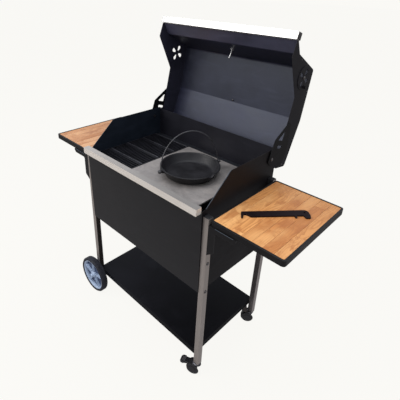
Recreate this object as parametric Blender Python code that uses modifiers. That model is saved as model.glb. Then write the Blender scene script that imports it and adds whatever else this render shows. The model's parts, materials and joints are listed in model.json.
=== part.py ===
"""Hooded charcoal grill trolley: firebox on four legs, wing sides, hinged hood, tables, shelf and wheels.

Metres, +Z up. The front faces -Y and the right-hand end is +X. The sizes below are measured from the
floor under the middle of the four legs. The whole trolley then stands MIDDLE_Y forward, so that the
origin is under the middle of the space that it takes with its hood open. The hood is modelled shut
around its hinge line and then swung open.
"""
import math

import bmesh
import bpy
from mathutils import Matrix, Vector

GAP = 0.0003                     # running and resting gap between neighbouring pieces
MIDDLE_Y = 0.074023              # from the middle of the legs back to the middle of the whole
SHEET = 0.0015                   # folded sheet steel

# Legs: square tube, outer faces of the four posts
LEG = 0.025
LEG_WALL = 0.0015
FRAME_HALF_X = 0.384
FRAME_HALF_Y = 0.219
LEG_FOOT_Z = 0.066
LEG_TOP_Z = 0.844
LEG_X = FRAME_HALF_X - LEG / 2
LEG_Y = FRAME_HALF_Y - LEG / 2

# Firebox
BODY_HALF_X = FRAME_HALF_X - LEG - GAP
BODY_BOTTOM_Z = 0.487
BODY_BACK_DROP = 0.010           # the firebox is deeper along its back
BODY_FRONT_TOP_Y = -0.229
BODY_FRONT_BOTTOM_Y = -0.2225
BODY_BACK_Y = 0.232
BODY_BACK_TOP_Z = 0.9715
RAIL = 0.028
RAIL_WALL = 0.0015
RAIL_FRONT_Y = -0.2535
RAIL_TOP_Z = 0.885
RAIL_HALF_X = 0.353
RAIL_BOTTOM_Z = RAIL_TOP_Z - RAIL
RAIL_BACK_Y = RAIL_FRONT_Y + RAIL
WING_FOOT_Y = -0.205
WING_FOOT_Z = 0.868
WING_TOP_Y = -0.077
WING_TOP_Z = 0.979

# Cooking surfaces
PLATE_TOP_Z = 0.838
PLATE_THICK = 0.006
PLATE_FRONT_Y = -0.2205
PLATE_BACK_Y = 0.196
GRILL_LEFT_X = -0.3535
GRILL_RIGHT_X = -0.109
HOTPLATE_LEFT_X = -0.1055
HOTPLATE_RIGHT_X = 0.291
GRILL_BARS = 4                   # bays between the cross bars
GRILL_SLOTS = 17
LEDGE = 0.018

# Hood, shut; every outline point is (y, z)
HINGE_Y = 0.188
HINGE_Z = 0.938
HOOD_OPEN_DEG = 107.0
HOOD_HALF_X = 0.3620
HOOD_PROFILE = [(-0.2741, 0.8695), (-0.232, 0.910), (-0.2006, 1.067),
                (0.0138, 1.0935), (0.221, 1.077), (0.2302, 1.0045)]
HOOD_BEND = 0.012
HANDLE_BACK_Y = -0.2745
HANDLE_TOP_Z = 0.879
VENT_Y = -0.157
VENT_Z = 1.002
VENT_PLATE_R = 0.048
VENT_PETALS = 4
VENT_FIRST_DEG = -17.0
PIVOT_R = 0.004
HINGE_PLATE = 0.003
GAUGE_Z = 0.979
GAUGE_X = 0.0
GAUGE_R = 0.030
STEM_R = 0.003
STEM_LENGTH = 0.045

# Pan with its bail
PAN_X = 0.0955
PAN_Y = -0.0095
PAN_R = 0.130
PAN_FLOOR_R = 0.106
PAN_HEIGHT = 0.043
PAN_WALL = 0.005
BAIL_TURN_DEG = 70.0
BAIL_LEAN_DEG = 7.0
BAIL_R = 0.1370
BAIL_RISE = 0.155
BAIL_WIRE_R = 0.0025
BAIL_PIVOT_Z = PLATE_TOP_Z + 0.035
EAR_FACE_R = 0.1340
EAR_SIZE = 0.012
PAN_LIP_DEG = -6.0

# Side tables
TABLE_IN_X = 0.388
TABLE_OUT_X = 0.679
TABLE_FRONT_Y = -0.2155
TABLE_BACK_Y = 0.2090
TABLE_TOP_Z = 0.843
TABLE_EDGE = 0.022
TABLE_RIM = 0.003
TABLE_LIP = 0.016
BOARD_THICK = 0.016
CORNER_R = 0.012
BRACKET_SHEET = 0.003
BRACKET_REACH_X = 0.503
BRACKET_WEB_X = 0.415
BRACKET_FOOT_Z = 0.690
BRACKET_ARM = 0.019

# Lifter lying on the right-hand table
LIFTER_MID = (0.521, -0.012)
LIFTER_TURN_DEG = 49.3
LIFTER_FAR = 0.0115
LIFTER_NEAR = -0.0215
LIFTER_LEFT = -0.124
LIFTER_RIGHT = 0.121
LIFTER_THICK = 0.005

# Shelf and running gear
SHELF_TOP_Z = 0.140
SHELF_SKIRT = 0.028
SHELF_HALF_X = FRAME_HALF_X - LEG - GAP
SHELF_HALF_Y = 0.2145
WHEEL_R = 0.1015
WHEEL_WIDTH = 0.036
WHEEL_FACE_Y = 0.2675
HUB_R = 0.084
HUB_SPOKES = 5
AXLE_R = 0.005
CASTER_R = 0.025
CASTER_WIDTH = 0.026
CASTER_TRAIL = 0.024
CASTER_CHEEK = 0.002
CASTER_PIN_R = 0.003
CASTER_STEM_R = 0.004
CASTER_TURN = {"front": 202.0, "back": 215.0}


# ---------------------------------------------------------------- scene and materials

def clear_scene():
    for obj in list(bpy.data.objects):
        bpy.data.objects.remove(obj, do_unlink=True)


def collection(name):
    group = bpy.data.collections.new(name)
    bpy.context.scene.collection.children.link(group)
    return group


def material(name, colour, roughness, metallic=0.0):
    mat = bpy.data.materials.new(name)
    mat.use_nodes = True
    shader = mat.node_tree.nodes["Principled BSDF"]
    shader.inputs["Base Color"].default_value = (*colour, 1.0)
    shader.inputs["Roughness"].default_value = roughness
    shader.inputs["Metallic"].default_value = metallic
    mat.diffuse_color = (*colour, 1.0)
    return mat


clear_scene()
PARTS = collection("grill_trolley")
CUTTERS = collection("cutters")
TROLLEY = bpy.data.objects.new("trolley", None)
TROLLEY.location = (0, -MIDDLE_Y, 0)
PARTS.objects.link(TROLLEY)
BLACK_STEEL = material("black_steel", (0.030, 0.030, 0.034), 0.45)
STAINLESS = material("stainless", (0.55, 0.53, 0.50), 0.30, 1.0)
GRILL_IRON = material("grill_iron", (0.035, 0.035, 0.037), 0.60, 0.4)
HOTPLATE_STEEL = material("hotplate_steel", (0.22, 0.21, 0.21), 0.45, 0.8)
CAST_IRON = material("cast_iron", (0.040, 0.040, 0.042), 0.55, 0.3)
WOOD = material("wood", (0.58, 0.34, 0.15), 0.50)
TYRE = material("tyre_rubber", (0.020, 0.021, 0.024), 0.80)
HUB_PLASTIC = material("hub_plastic", (0.30, 0.36, 0.45), 0.40)
BLACK_PLASTIC = material("black_plastic", (0.018, 0.018, 0.020), 0.50)
BRIGHT_STEEL = material("bright_steel", (0.62, 0.62, 0.62), 0.25, 1.0)


# ---------------------------------------------------------------- modelling helpers

def link(name, data, mat, parent=None):
    obj = bpy.data.objects.new(name, data)
    PARTS.objects.link(obj)
    if mat is not None:
        data.materials.append(mat)
    obj.parent = parent or TROLLEY
    return obj


def pivot(name, location, rotation=(0, 0, 0), parent=None):
    """An empty on a joint's axis, for the pieces that turn about it."""
    empty = bpy.data.objects.new(name, None)
    empty.location = location
    empty.rotation_euler = rotation
    empty.parent = parent or TROLLEY
    PARTS.objects.link(empty)
    return empty


def mesh_from(bm, name):
    mesh = bpy.data.meshes.new(name)
    bm.to_mesh(mesh)
    bm.free()
    return mesh


def smooth(mesh, angle=35.0):
    mesh.shade_smooth()
    mesh.set_sharp_from_angle(angle=math.radians(angle))


def box_mesh(low, high, name):
    bm = bmesh.new()
    bmesh.ops.create_cube(bm, size=1.0)
    size = Vector(high) - Vector(low)
    middle = (Vector(high) + Vector(low)) / 2
    bmesh.ops.scale(bm, vec=size, verts=bm.verts)
    bmesh.ops.translate(bm, vec=middle, verts=bm.verts)
    return mesh_from(bm, name)


def box(name, low, high, mat, parent=None, bevel=0.0):
    obj = link(name, box_mesh(low, high, name), mat, parent)
    if bevel:
        edge = obj.modifiers.new("edge", "BEVEL")
        edge.width = bevel
        edge.segments = 2
    return obj


def cylinder_mesh(radius, start, end, name, sides=24):
    """A rod from start to end."""
    bm = bmesh.new()
    run = Vector(end) - Vector(start)
    bmesh.ops.create_cone(bm, cap_ends=True, segments=sides, radius1=radius, radius2=radius, depth=run.length)
    turn = Vector((0, 0, 1)).rotation_difference(run).to_matrix().to_4x4()
    place = Matrix.Translation((Vector(start) + Vector(end)) / 2) @ turn
    bmesh.ops.transform(bm, matrix=place, verts=bm.verts)
    mesh = mesh_from(bm, name)
    smooth(mesh)
    return mesh


def cylinder(name, radius, start, end, mat, parent=None, sides=24):
    return link(name, cylinder_mesh(radius, start, end, name, sides), mat, parent)


def hide_tool(obj):
    """Moves a cutter or a piece of a union out of the set of parts."""
    PARTS.objects.unlink(obj)
    CUTTERS.objects.link(obj)
    obj.hide_render = True
    obj.display_type = "WIRE"


def combine(obj, mesh, operation):
    tool = link(f"{obj.name}_{operation.lower()}_{len(obj.modifiers)}", mesh, None, obj.parent)
    tool.location = obj.location
    tool.rotation_euler = obj.rotation_euler
    hide_tool(tool)
    step = obj.modifiers.new(operation.lower(), "BOOLEAN")
    step.operation = operation
    step.object = tool
    return obj


def cut(obj, mesh):
    return combine(obj, mesh, "DIFFERENCE")


def unite(obj, mesh):
    return combine(obj, mesh, "UNION")


def fillet(points, radius, steps=4, closed=False):
    """Rounds the corners of a flat polyline with arcs that touch both sides."""
    count = len(points)
    result = []
    for i, point in enumerate(points):
        here = Vector(point)
        r = radius[i] if isinstance(radius, (list, tuple)) else radius
        if r == 0 or (not closed and i in (0, count - 1)):
            result.append(here)
            continue
        to_last = (Vector(points[i - 1]) - here).normalized()
        to_next = (Vector(points[(i + 1) % count]) - here).normalized()
        half = to_last.angle(to_next) / 2
        reach = r / math.tan(half)
        middle = here + (to_last + to_next).normalized() * (r / math.sin(half))
        first = here + to_last * reach - middle
        last = here + to_next * reach - middle
        sweep = first.angle_signed(last)
        for k in range(steps + 1):
            result.append(middle + Matrix.Rotation(-sweep * k / steps, 2) @ first)
    return result


def arc(centre, radius, start_deg, end_deg, steps):
    angles = [math.radians(start_deg + (end_deg - start_deg) * k / steps) for k in range(steps + 1)]
    return [Vector((centre[0] + radius * math.cos(a), centre[1] + radius * math.sin(a))) for a in angles]


def circle(centre, radius, sides=20):
    return arc(centre, radius, 0, 360 * (sides - 1) / sides, sides - 1)


FACING = {"X": (math.pi / 2, 0, math.pi / 2),     # outline is (y, z)
          "Y": (math.pi / 2, 0, 0),               # outline is (x, z)
          "Z": (0, 0, 0)}                         # outline is (x, y)


def plate(name, loops, facing, middle, thickness, mat, parent=None):
    """A flat plate: the first loop is its outline and the others are holes."""
    curve = bpy.data.curves.new(name, "CURVE")
    curve.dimensions = "2D"
    curve.fill_mode = "BOTH"
    curve.extrude = thickness / 2
    for loop in loops:
        spline = curve.splines.new("POLY")
        spline.points.add(len(loop) - 1)
        for vertex, point in zip(spline.points, loop):
            vertex.co = (point[0], point[1], 0, 1)
        spline.use_cyclic_u = True
    obj = link(name, curve, mat, parent)
    obj.location = middle
    obj.rotation_euler = FACING[facing]
    return obj


def solid(obj):
    """Turns a curve into a closed mesh in its parent's frame, so that it can be cut or joined."""
    bpy.context.view_layer.update()
    graph = bpy.context.evaluated_depsgraph_get()
    mesh = bpy.data.meshes.new_from_object(obj.evaluated_get(graph))
    mesh.transform(obj.matrix_basis)
    bm = bmesh.new()
    bm.from_mesh(mesh)
    bmesh.ops.remove_doubles(bm, verts=bm.verts, dist=0.00001)
    bmesh.ops.recalc_face_normals(bm, faces=bm.faces)
    bm.to_mesh(mesh)
    bm.free()
    name, parent = obj.name, obj.parent
    bpy.data.objects.remove(obj, do_unlink=True)
    mesh.name = name
    return link(name, mesh, None, parent)


def plate_mesh(loops, facing, middle, thickness):
    """The mesh of a plate, for joining to another piece."""
    obj = solid(plate("tool", loops, facing, middle, thickness, None))
    mesh = obj.data
    bpy.data.objects.remove(obj, do_unlink=True)
    return mesh


def folded_sheet(name, profile, half_x, thickness, mat, parent=None, offset=1.0):
    """Sheet steel folded along X: an open (y, z) profile given its thickness by Solidify."""
    bm = bmesh.new()
    rows = [[bm.verts.new((side * half_x, y, z)) for side in (-1, 1)] for y, z in profile]
    for low, high in zip(rows, rows[1:]):
        bm.faces.new((low[0], high[0], high[1], low[1]))
    obj = link(name, mesh_from(bm, name), mat, parent)
    skin = obj.modifiers.new("thickness", "SOLIDIFY")
    skin.thickness = thickness
    skin.offset = offset
    skin.use_even_offset = True
    return obj


def box_section(name, low, high, wall, mat, parent=None, drain_z=0):
    """A closed box section along X, with a small drain hole at its middle: drain_z is 0 below, 1 above."""
    obj = box(name, low, high, mat, parent)
    inner_low = Vector(low) + Vector((wall, wall, wall))
    inner_high = Vector(high) - Vector((wall, wall, wall))
    cut(obj, box_mesh(inner_low, inner_high, "inside"))
    middle = (Vector(low) + Vector(high)) / 2
    face = (low, high)[drain_z][2]
    drain = (middle.x, middle.y, face - 2 * wall), (middle.x, middle.y, face + 2 * wall)
    cut(obj, cylinder_mesh(wall * 2, *drain, "drain", 12))
    return obj


def turned(name, profile, location, mat, parent=None, steps=48, rotation=(0, 0, 0)):
    """A turned piece: an (r, z) profile that runs down its outer side, spun about Z."""
    mesh = bpy.data.meshes.new(name)
    points = [(r, 0, z) for r, z in profile]
    edges = [(i, (i + 1) % len(points)) for i in range(len(points))]
    if profile[0][0] == 0:
        edges.pop()
    mesh.from_pydata(points, edges, [])
    obj = link(name, mesh, mat, parent)
    obj.location = location
    obj.rotation_euler = rotation
    spin = obj.modifiers.new("spin", "SCREW")
    spin.steps = steps
    spin.render_steps = steps
    spin.use_merge_vertices = True
    spin.merge_threshold = 0.00001
    spin.use_smooth_shade = True
    return obj


# ---------------------------------------------------------------- frame and firebox

def build_legs():
    for side, sx in (("left", -1), ("right", 1)):
        for end, sy in (("front", -1), ("back", 1)):
            x, y = sx * LEG_X, sy * LEG_Y
            half = LEG / 2
            leg = box(f"leg_{end}_{side}", (x - half, y - half, LEG_FOOT_Z),
                      (x + half, y + half, LEG_TOP_Z), STAINLESS)
            bore = half - LEG_WALL
            cut(leg, box_mesh((x - bore, y - bore, LEG_FOOT_Z - LEG),
                              (x + bore, y + bore, LEG_TOP_Z - LEG_WALL), "bore"))
            if side == "left":
                ends = (x, y - LEG, WHEEL_R), (x, y + LEG, WHEEL_R)
                cut(leg, cylinder_mesh(AXLE_R + GAP, *ends, "axle_hole", 20))


def build_front_panel():
    lip = 0.020
    fold_z = RAIL_BOTTOM_Z - GAP - SHEET
    profile = [(BODY_FRONT_BOTTOM_Y + lip, BODY_BOTTOM_Z), (BODY_FRONT_BOTTOM_Y, BODY_BOTTOM_Z),
               (BODY_FRONT_TOP_Y, fold_z), (RAIL_FRONT_Y + 0.004, fold_z)]
    folded_sheet("front_panel", profile, BODY_HALF_X, SHEET, BLACK_STEEL)


def build_back_panel():
    lip = 0.014
    low_z = BODY_BOTTOM_Z - BODY_BACK_DROP
    profile = [(BODY_BACK_Y - lip, low_z), (BODY_BACK_Y, low_z), (BODY_BACK_Y, BODY_BACK_TOP_Z)]
    folded_sheet("back_panel", profile, BODY_HALF_X, SHEET, BLACK_STEEL, offset=-1.0)


def build_side_panels():
    front_low = BODY_FRONT_BOTTOM_Y + SHEET + GAP
    front_high = BODY_FRONT_TOP_Y + SHEET + 2 * GAP
    back = BODY_BACK_Y - SHEET - GAP
    foot = BODY_BOTTOM_Z + SHEET + GAP
    outline = [(front_low + GAP, foot), (front_low + 0.024, foot), (back, foot - BODY_BACK_DROP + GAP),
               (back, WING_TOP_Z), (WING_TOP_Y, WING_TOP_Z),
               (WING_FOOT_Y, WING_FOOT_Z), (RAIL_BACK_Y + GAP, WING_FOOT_Z),
               (RAIL_BACK_Y + GAP, RAIL_BOTTOM_Z - SHEET), (front_high, RAIL_BOTTOM_Z - SHEET - 2 * GAP)]
    outline = fillet(outline, [0, 0, 0, 0.006, 0.010, 0.004, 0, 0, 0], closed=True)
    hole = circle((HINGE_Y, HINGE_Z), PIVOT_R + GAP)
    for side, sign in (("left", -1), ("right", 1)):
        middle = (sign * (BODY_HALF_X - SHEET / 2), 0, 0)
        plate(f"side_panel_{side}", [outline, hole], "X", middle, SHEET, BLACK_STEEL)


def build_firebox_inside():
    inside = BODY_HALF_X - SHEET - GAP
    floor_z = BODY_BOTTOM_Z + SHEET + 2 * GAP
    front = BODY_FRONT_BOTTOM_Y + SHEET + 2 * GAP
    back = BODY_BACK_Y - SHEET - 2 * GAP
    box("firebox_floor", (-inside, front, floor_z), (inside, back, floor_z + SHEET), BLACK_STEEL)
    tray_low = (-inside + 0.012, front + 0.010, floor_z + SHEET + GAP)
    tray_high = (inside - 0.012, back - 0.012, floor_z + 0.060)
    tray = box("charcoal_tray", tray_low, tray_high, BLACK_STEEL)
    hollow_low = Vector(tray_low) + Vector((SHEET, SHEET, SHEET))
    hollow_high = Vector(tray_high) + Vector((-SHEET, -SHEET, SHEET))
    cut(tray, box_mesh(hollow_low, hollow_high, "hollow"))
    top = PLATE_TOP_Z - PLATE_THICK - GAP
    for end, y, inward in (("front", BODY_FRONT_TOP_Y + SHEET + 3 * GAP, 1), ("back", back, -1)):
        profile = [(y, top - LEDGE), (y, top), (y + inward * LEDGE * (2.3 if end == "back" else 1), top)]
        folded_sheet(f"plate_ledge_{end}", profile, inside, SHEET, BLACK_STEEL, offset=inward)


def build_front_rail():
    box_section("front_rail", (-RAIL_HALF_X, RAIL_FRONT_Y, RAIL_BOTTOM_Z),
                (RAIL_HALF_X, RAIL_BACK_Y, RAIL_TOP_Z), RAIL_WALL, STAINLESS)


def build_cooking_plates():
    low_z = PLATE_TOP_Z - PLATE_THICK
    outline = [(GRILL_LEFT_X, PLATE_FRONT_Y), (GRILL_RIGHT_X, PLATE_FRONT_Y),
               (GRILL_RIGHT_X, PLATE_BACK_Y), (GRILL_LEFT_X, PLATE_BACK_Y)]
    rim = 0.010
    bay = (PLATE_BACK_Y - PLATE_FRONT_Y - rim) / GRILL_BARS
    pitch = (GRILL_RIGHT_X - GRILL_LEFT_X - rim) / GRILL_SLOTS
    bar = pitch * 0.40
    slots = []
    for row in range(GRILL_BARS):
        for column in range(GRILL_SLOTS):
            x = GRILL_LEFT_X + rim / 2 + pitch * column + bar / 2
            y = PLATE_FRONT_Y + rim + bay * row
            slots.append([(x, y), (x + pitch - bar, y), (x + pitch - bar, y + bay - rim), (x, y + bay - rim)])
    plate("grill_grate", [outline] + slots, "Z", (0, 0, low_z + PLATE_THICK / 2), PLATE_THICK, GRILL_IRON)
    box("hotplate", (HOTPLATE_LEFT_X, PLATE_FRONT_Y, low_z), (HOTPLATE_RIGHT_X, PLATE_BACK_Y, PLATE_TOP_Z),
        HOTPLATE_STEEL)


# ---------------------------------------------------------------- hood

def build_hood_shell(hinge):
    profile = fillet([(y - HINGE_Y, z - HINGE_Z) for y, z in HOOD_PROFILE], HOOD_BEND)
    folded_sheet("hood_shell", profile, HOOD_HALF_X - SHEET - GAP, SHEET, BLACK_STEEL, hinge)


def vent_loops(centre, first_deg):
    """Four rounded petals about a centre."""
    loops = []
    inner, outer, half_in, half_out = 0.016, 0.038, 0.005, 0.0095
    for k in range(VENT_PETALS):
        turn = Matrix.Rotation(math.radians(first_deg + 360 * k / VENT_PETALS), 2)
        shape = arc((inner, 0), half_in, 270, 90, 4) + arc((outer - half_out, 0), half_out, 90, -90, 8)
        loops.append([turn @ point + Vector(centre) for point in shape])
    return loops


def build_hood_ends(hinge):
    back_top = fillet([(y - HINGE_Y, z - HINGE_Z) for y, z in HOOD_PROFILE], HOOD_BEND)
    under = [(0.045, 0.986), (WING_TOP_Y + 0.002, 0.977), (-0.2085, 0.857), (-0.2735, 0.861)]
    under = [(y - HINGE_Y, z - HINGE_Z) for y, z in under]
    corners = fillet([back_top[-1]] + under + [back_top[0]], [0, 0.02, 0.008, 0.004, 0.003, 0])
    vent = (VENT_Y - HINGE_Y, VENT_Z - HINGE_Z)
    for side, sign in (("left", -1), ("right", 1)):
        loops = [back_top + corners[1:-1], circle(vent, PIVOT_R + GAP, 16)] + vent_loops(vent, VENT_FIRST_DEG)
        middle = (sign * (HOOD_HALF_X - SHEET / 2), 0, 0)
        plate(f"hood_end_{side}", loops, "X", middle, SHEET, BLACK_STEEL, hinge)


def build_hinge_plates(hinge):
    outline = [(0.030, 0.992), (0.106, 0.922), (0.204, 0.916), (0.218, 0.960), (0.218, 1.036),
               (0.150, 1.048), (0.030, 1.012)]
    outline = [(y - HINGE_Y, z - HINGE_Z) for y, z in outline]
    outline = fillet(outline, [0.006, 0.012, 0.012, 0.012, 0.006, 0.012, 0.006], closed=True)
    window = fillet([(0.062 - HINGE_Y, 0.984 - HINGE_Z), (0.106 - HINGE_Y, 0.984 - HINGE_Z),
                     (0.106 - HINGE_Y, 0.945 - HINGE_Z)], 0.003, closed=True)
    slot_centre = (0.134 - HINGE_Y, 0.972 - HINGE_Z)
    slot = (arc((slot_centre[0], slot_centre[1] + 0.012), 0.0065, 0, 180, 6)
            + arc((slot_centre[0], slot_centre[1] - 0.012), 0.0065, 180, 360, 6))
    loops = [outline, window, slot, circle((0, 0), PIVOT_R + GAP)]
    for side, sign in (("left", -1), ("right", 1)):
        middle = (sign * (HOOD_HALF_X + GAP + HINGE_PLATE / 2), 0, 0)
        plate(f"hinge_plate_{side}", loops, "X", middle, HINGE_PLATE, BLACK_STEEL, hinge)
        inner = BODY_HALF_X - SHEET - 0.003
        outer = HOOD_HALF_X + HINGE_PLATE + 2 * GAP
        bolt = cylinder(f"hinge_bolt_{side}", PIVOT_R, (sign * inner, HINGE_Y, HINGE_Z),
                        (sign * (outer + 0.002), HINGE_Y, HINGE_Z), BRIGHT_STEEL, sides=20)
        head = (sign * outer, HINGE_Y, HINGE_Z), (sign * (outer + 0.004), HINGE_Y, HINGE_Z)
        unite(bolt, cylinder_mesh(0.0075, *head, "head", 20))


def build_dampers(hinge):
    for side, sign in (("left", -1), ("right", 1)):
        y, z = VENT_Y - HINGE_Y, VENT_Z - HINGE_Z
        inner = HOOD_HALF_X + GAP
        loops = [circle((y, z), VENT_PLATE_R, 40)] + vent_loops((y, z), VENT_FIRST_DEG)
        disc = solid(plate(f"damper_{side}", loops, "X", (sign * (inner + SHEET / 2), 0, 0), SHEET, BLACK_STEEL,
                           hinge))
        disc.data.materials.append(BLACK_STEEL)
        stud = (sign * (HOOD_HALF_X - SHEET - 0.003), y, z), (sign * (inner + SHEET + 0.004), y, z)
        unite(disc, cylinder_mesh(PIVOT_R, *stud, "stud", 16))
        tab_turn = Matrix.Rotation(math.radians(VENT_FIRST_DEG + 180 / VENT_PETALS), 2)
        tab = tab_turn @ Vector((VENT_PLATE_R - 0.009, 0)) + Vector((y, z))
        grip = (sign * (inner + SHEET / 2), tab.x, tab.y), (sign * (inner + SHEET + 0.011), tab.x, tab.y)
        unite(disc, cylinder_mesh(0.0055, *grip, "grip", 16))


def build_handle(hinge):
    low = (-HOOD_HALF_X, HANDLE_BACK_Y - RAIL - HINGE_Y, HANDLE_TOP_Z - RAIL - HINGE_Z)
    high = (HOOD_HALF_X, HANDLE_BACK_Y - HINGE_Y, HANDLE_TOP_Z - HINGE_Z)
    box_section("hood_handle", low, high, RAIL_WALL, STAINLESS, hinge, 1)


def build_gauge(hinge):
    """Thermometer in the hood's front face, and the hole that it passes through."""
    (y1, z1), (y2, z2) = HOOD_PROFILE[1], HOOD_PROFILE[2]
    along = Vector((0, y2 - y1, z2 - z1)).normalized()
    outward = Vector((0, -along.z, along.y))
    base = Vector((GAUGE_X, y1 + (y2 - y1) * (GAUGE_Z - z1) / (z2 - z1) - HINGE_Y, GAUGE_Z - HINGE_Z))
    face = base + outward * GAP
    gauge = cylinder("thermometer", GAUGE_R, face, face + outward * 0.010, BRIGHT_STEEL, hinge, 32)
    unite(gauge, cylinder_mesh(STEM_R, face + outward * 0.004, base - outward * STEM_LENGTH, "stem", 16))
    shell = bpy.data.objects["hood_shell"]
    cut(shell, cylinder_mesh(STEM_R + GAP, base + outward * 0.01, base - outward * 0.01, "gauge_hole", 16))


# ---------------------------------------------------------------- pan and lifter

def build_pan():
    wall, h = PAN_WALL, PAN_HEIGHT
    profile = [(0, wall), (PAN_FLOOR_R - 0.010, wall), (PAN_FLOOR_R - 0.002, wall + 0.006),
               (PAN_R - 0.004 - wall, h - 0.004), (PAN_R - 0.004 - wall, h), (PAN_R, h),
               (PAN_R, h - 0.006), (PAN_R - 0.004, h - 0.008),
               (PAN_FLOOR_R + 0.003, 0.008), (PAN_FLOOR_R - 0.006, 0), (0, 0)]
    base = (PAN_X, PAN_Y, PLATE_TOP_Z + GAP)
    pan = turned("pan", profile, base, CAST_IRON, steps=56)
    turn = math.radians(BAIL_TURN_DEG)
    along = Vector((math.cos(turn), math.sin(turn), 0))
    lift = Vector((0, 0, BAIL_PIVOT_Z - PLATE_TOP_Z - GAP))
    for sign in (-1, 1):
        start = along * sign * (PAN_R - 0.008) + lift
        end = along * sign * EAR_FACE_R + lift
        bm = bmesh.new()
        bmesh.ops.create_cube(bm, size=1.0)
        bmesh.ops.scale(bm, vec=((end - start).length, EAR_SIZE * 1.3, EAR_SIZE), verts=bm.verts)
        place = Matrix.Translation((start + end) / 2) @ Matrix.Rotation(turn, 4, "Z")
        bmesh.ops.transform(bm, matrix=place, verts=bm.verts)
        unite(pan, mesh_from(bm, "ear"))
        hole = along * sign * (EAR_FACE_R - 0.0095) + lift, along * sign * (EAR_FACE_R + 0.01) + lift
        cut(pan, cylinder_mesh(BAIL_WIRE_R + 2 * GAP, *hole, "ear_hole", 16))
    lip_turn = math.radians(PAN_LIP_DEG)
    spout = Vector((math.cos(lip_turn), math.sin(lip_turn), 0)) * PAN_R + Vector((0, 0, h + 0.006))
    bm = bmesh.new()
    bmesh.ops.create_uvsphere(bm, u_segments=16, v_segments=8, radius=0.015)
    bmesh.ops.translate(bm, vec=spout, verts=bm.verts)
    cut(pan, mesh_from(bm, "spout"))


def build_bail():
    turn = math.radians(BAIL_TURN_DEG)
    hinge = pivot("bail_pivot", (PAN_X, PAN_Y, BAIL_PIVOT_Z), (0, 0, turn))
    lean = math.radians(BAIL_LEAN_DEG)
    curve = bpy.data.curves.new("pan_bail", "CURVE")
    curve.dimensions = "3D"
    curve.bevel_depth = BAIL_WIRE_R
    curve.bevel_resolution = 2
    curve.use_fill_caps = True
    tail = BAIL_R - 0.008
    points = []
    for k in range(25):
        angle = math.pi * k / 24
        up = BAIL_RISE * math.sin(angle)
        points.append((BAIL_R * math.cos(angle), up * math.sin(lean), up * math.cos(lean)))
    points = [(tail, 0, 0)] + points + [(-tail, 0, 0)]
    spline = curve.splines.new("POLY")
    spline.points.add(len(points) - 1)
    for vertex, point in zip(spline.points, points):
        vertex.co = (*point, 1)
    link("pan_bail", curve, CAST_IRON, hinge)


def build_lifter():
    """A flat bar with a thin claw at one end, a nib along its edge and a broad hook at the other end."""
    far, near, left, right = LIFTER_FAR, LIFTER_NEAR, LIFTER_LEFT, LIFTER_RIGHT
    claw = [(left, far), (left - 0.007, near - 0.003), (left - 0.001, near - 0.004),
            (left + 0.007, near + 0.018), (left + 0.016, near + 0.014)]
    edge = [(left + 0.031, near), (0.062, near), (0.063, near - 0.012), (0.069, near - 0.012), (0.070, near)]
    hook = [(right - 0.025, near), (right - 0.022, near - 0.016), (right - 0.005, near - 0.016),
            (right, near), (right, far)]
    claw_rounds = [0.006, 0.002, 0.002, 0.004, 0.004]
    edge_rounds = [0.006, 0.001, 0.002, 0.002, 0.001]
    hook_rounds = [0.003, 0.004, 0.004, 0.010, 0.014]
    outline = fillet(claw + edge + hook, claw_rounds + edge_rounds + hook_rounds, closed=True)
    hang_hole = circle((right - 0.016, (far + near) / 2), 0.004, 16)
    z = TABLE_TOP_Z + GAP + LIFTER_THICK / 2
    strap = plate("lifter", [outline, hang_hole], "Z", (*LIFTER_MID, z), LIFTER_THICK, CAST_IRON)
    strap.rotation_euler = (0, 0, math.radians(LIFTER_TURN_DEG))


# ---------------------------------------------------------------- tables

def table_loop(inset, radius, sign):
    low_x, high_x = TABLE_IN_X + inset, TABLE_OUT_X - inset
    low_y, high_y = TABLE_FRONT_Y + inset, TABLE_BACK_Y - inset
    corners = [(low_x, low_y), (high_x, low_y), (high_x, high_y), (low_x, high_y)]
    return [(sign * p[0], p[1]) for p in fillet(corners, radius, closed=True)]


def build_tables():
    for side, sign in (("left", -1), ("right", 1)):
        edge_loops = [table_loop(0, CORNER_R, sign), table_loop(TABLE_RIM, CORNER_R / 2, sign)]
        rim = plate(f"table_frame_{side}", edge_loops, "Z", (0, 0, TABLE_TOP_Z - TABLE_EDGE / 2), TABLE_EDGE,
                    BLACK_STEEL)
        rim = solid(rim)
        rim.data.materials.append(BLACK_STEEL)
        ledge_z = TABLE_TOP_Z - BOARD_THICK - GAP - SHEET / 2
        loops = [table_loop(TABLE_RIM / 2, CORNER_R, sign), table_loop(TABLE_LIP, 0.004, sign)]
        unite(rim, plate_mesh(loops, "Z", (0, 0, ledge_z), SHEET))
        board_loop = table_loop(TABLE_RIM + GAP, CORNER_R / 2, sign)
        board_z = TABLE_TOP_Z - BOARD_THICK / 2
        plate(f"table_board_{side}", [board_loop], "Z", (0, 0, board_z), BOARD_THICK, WOOD)


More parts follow.
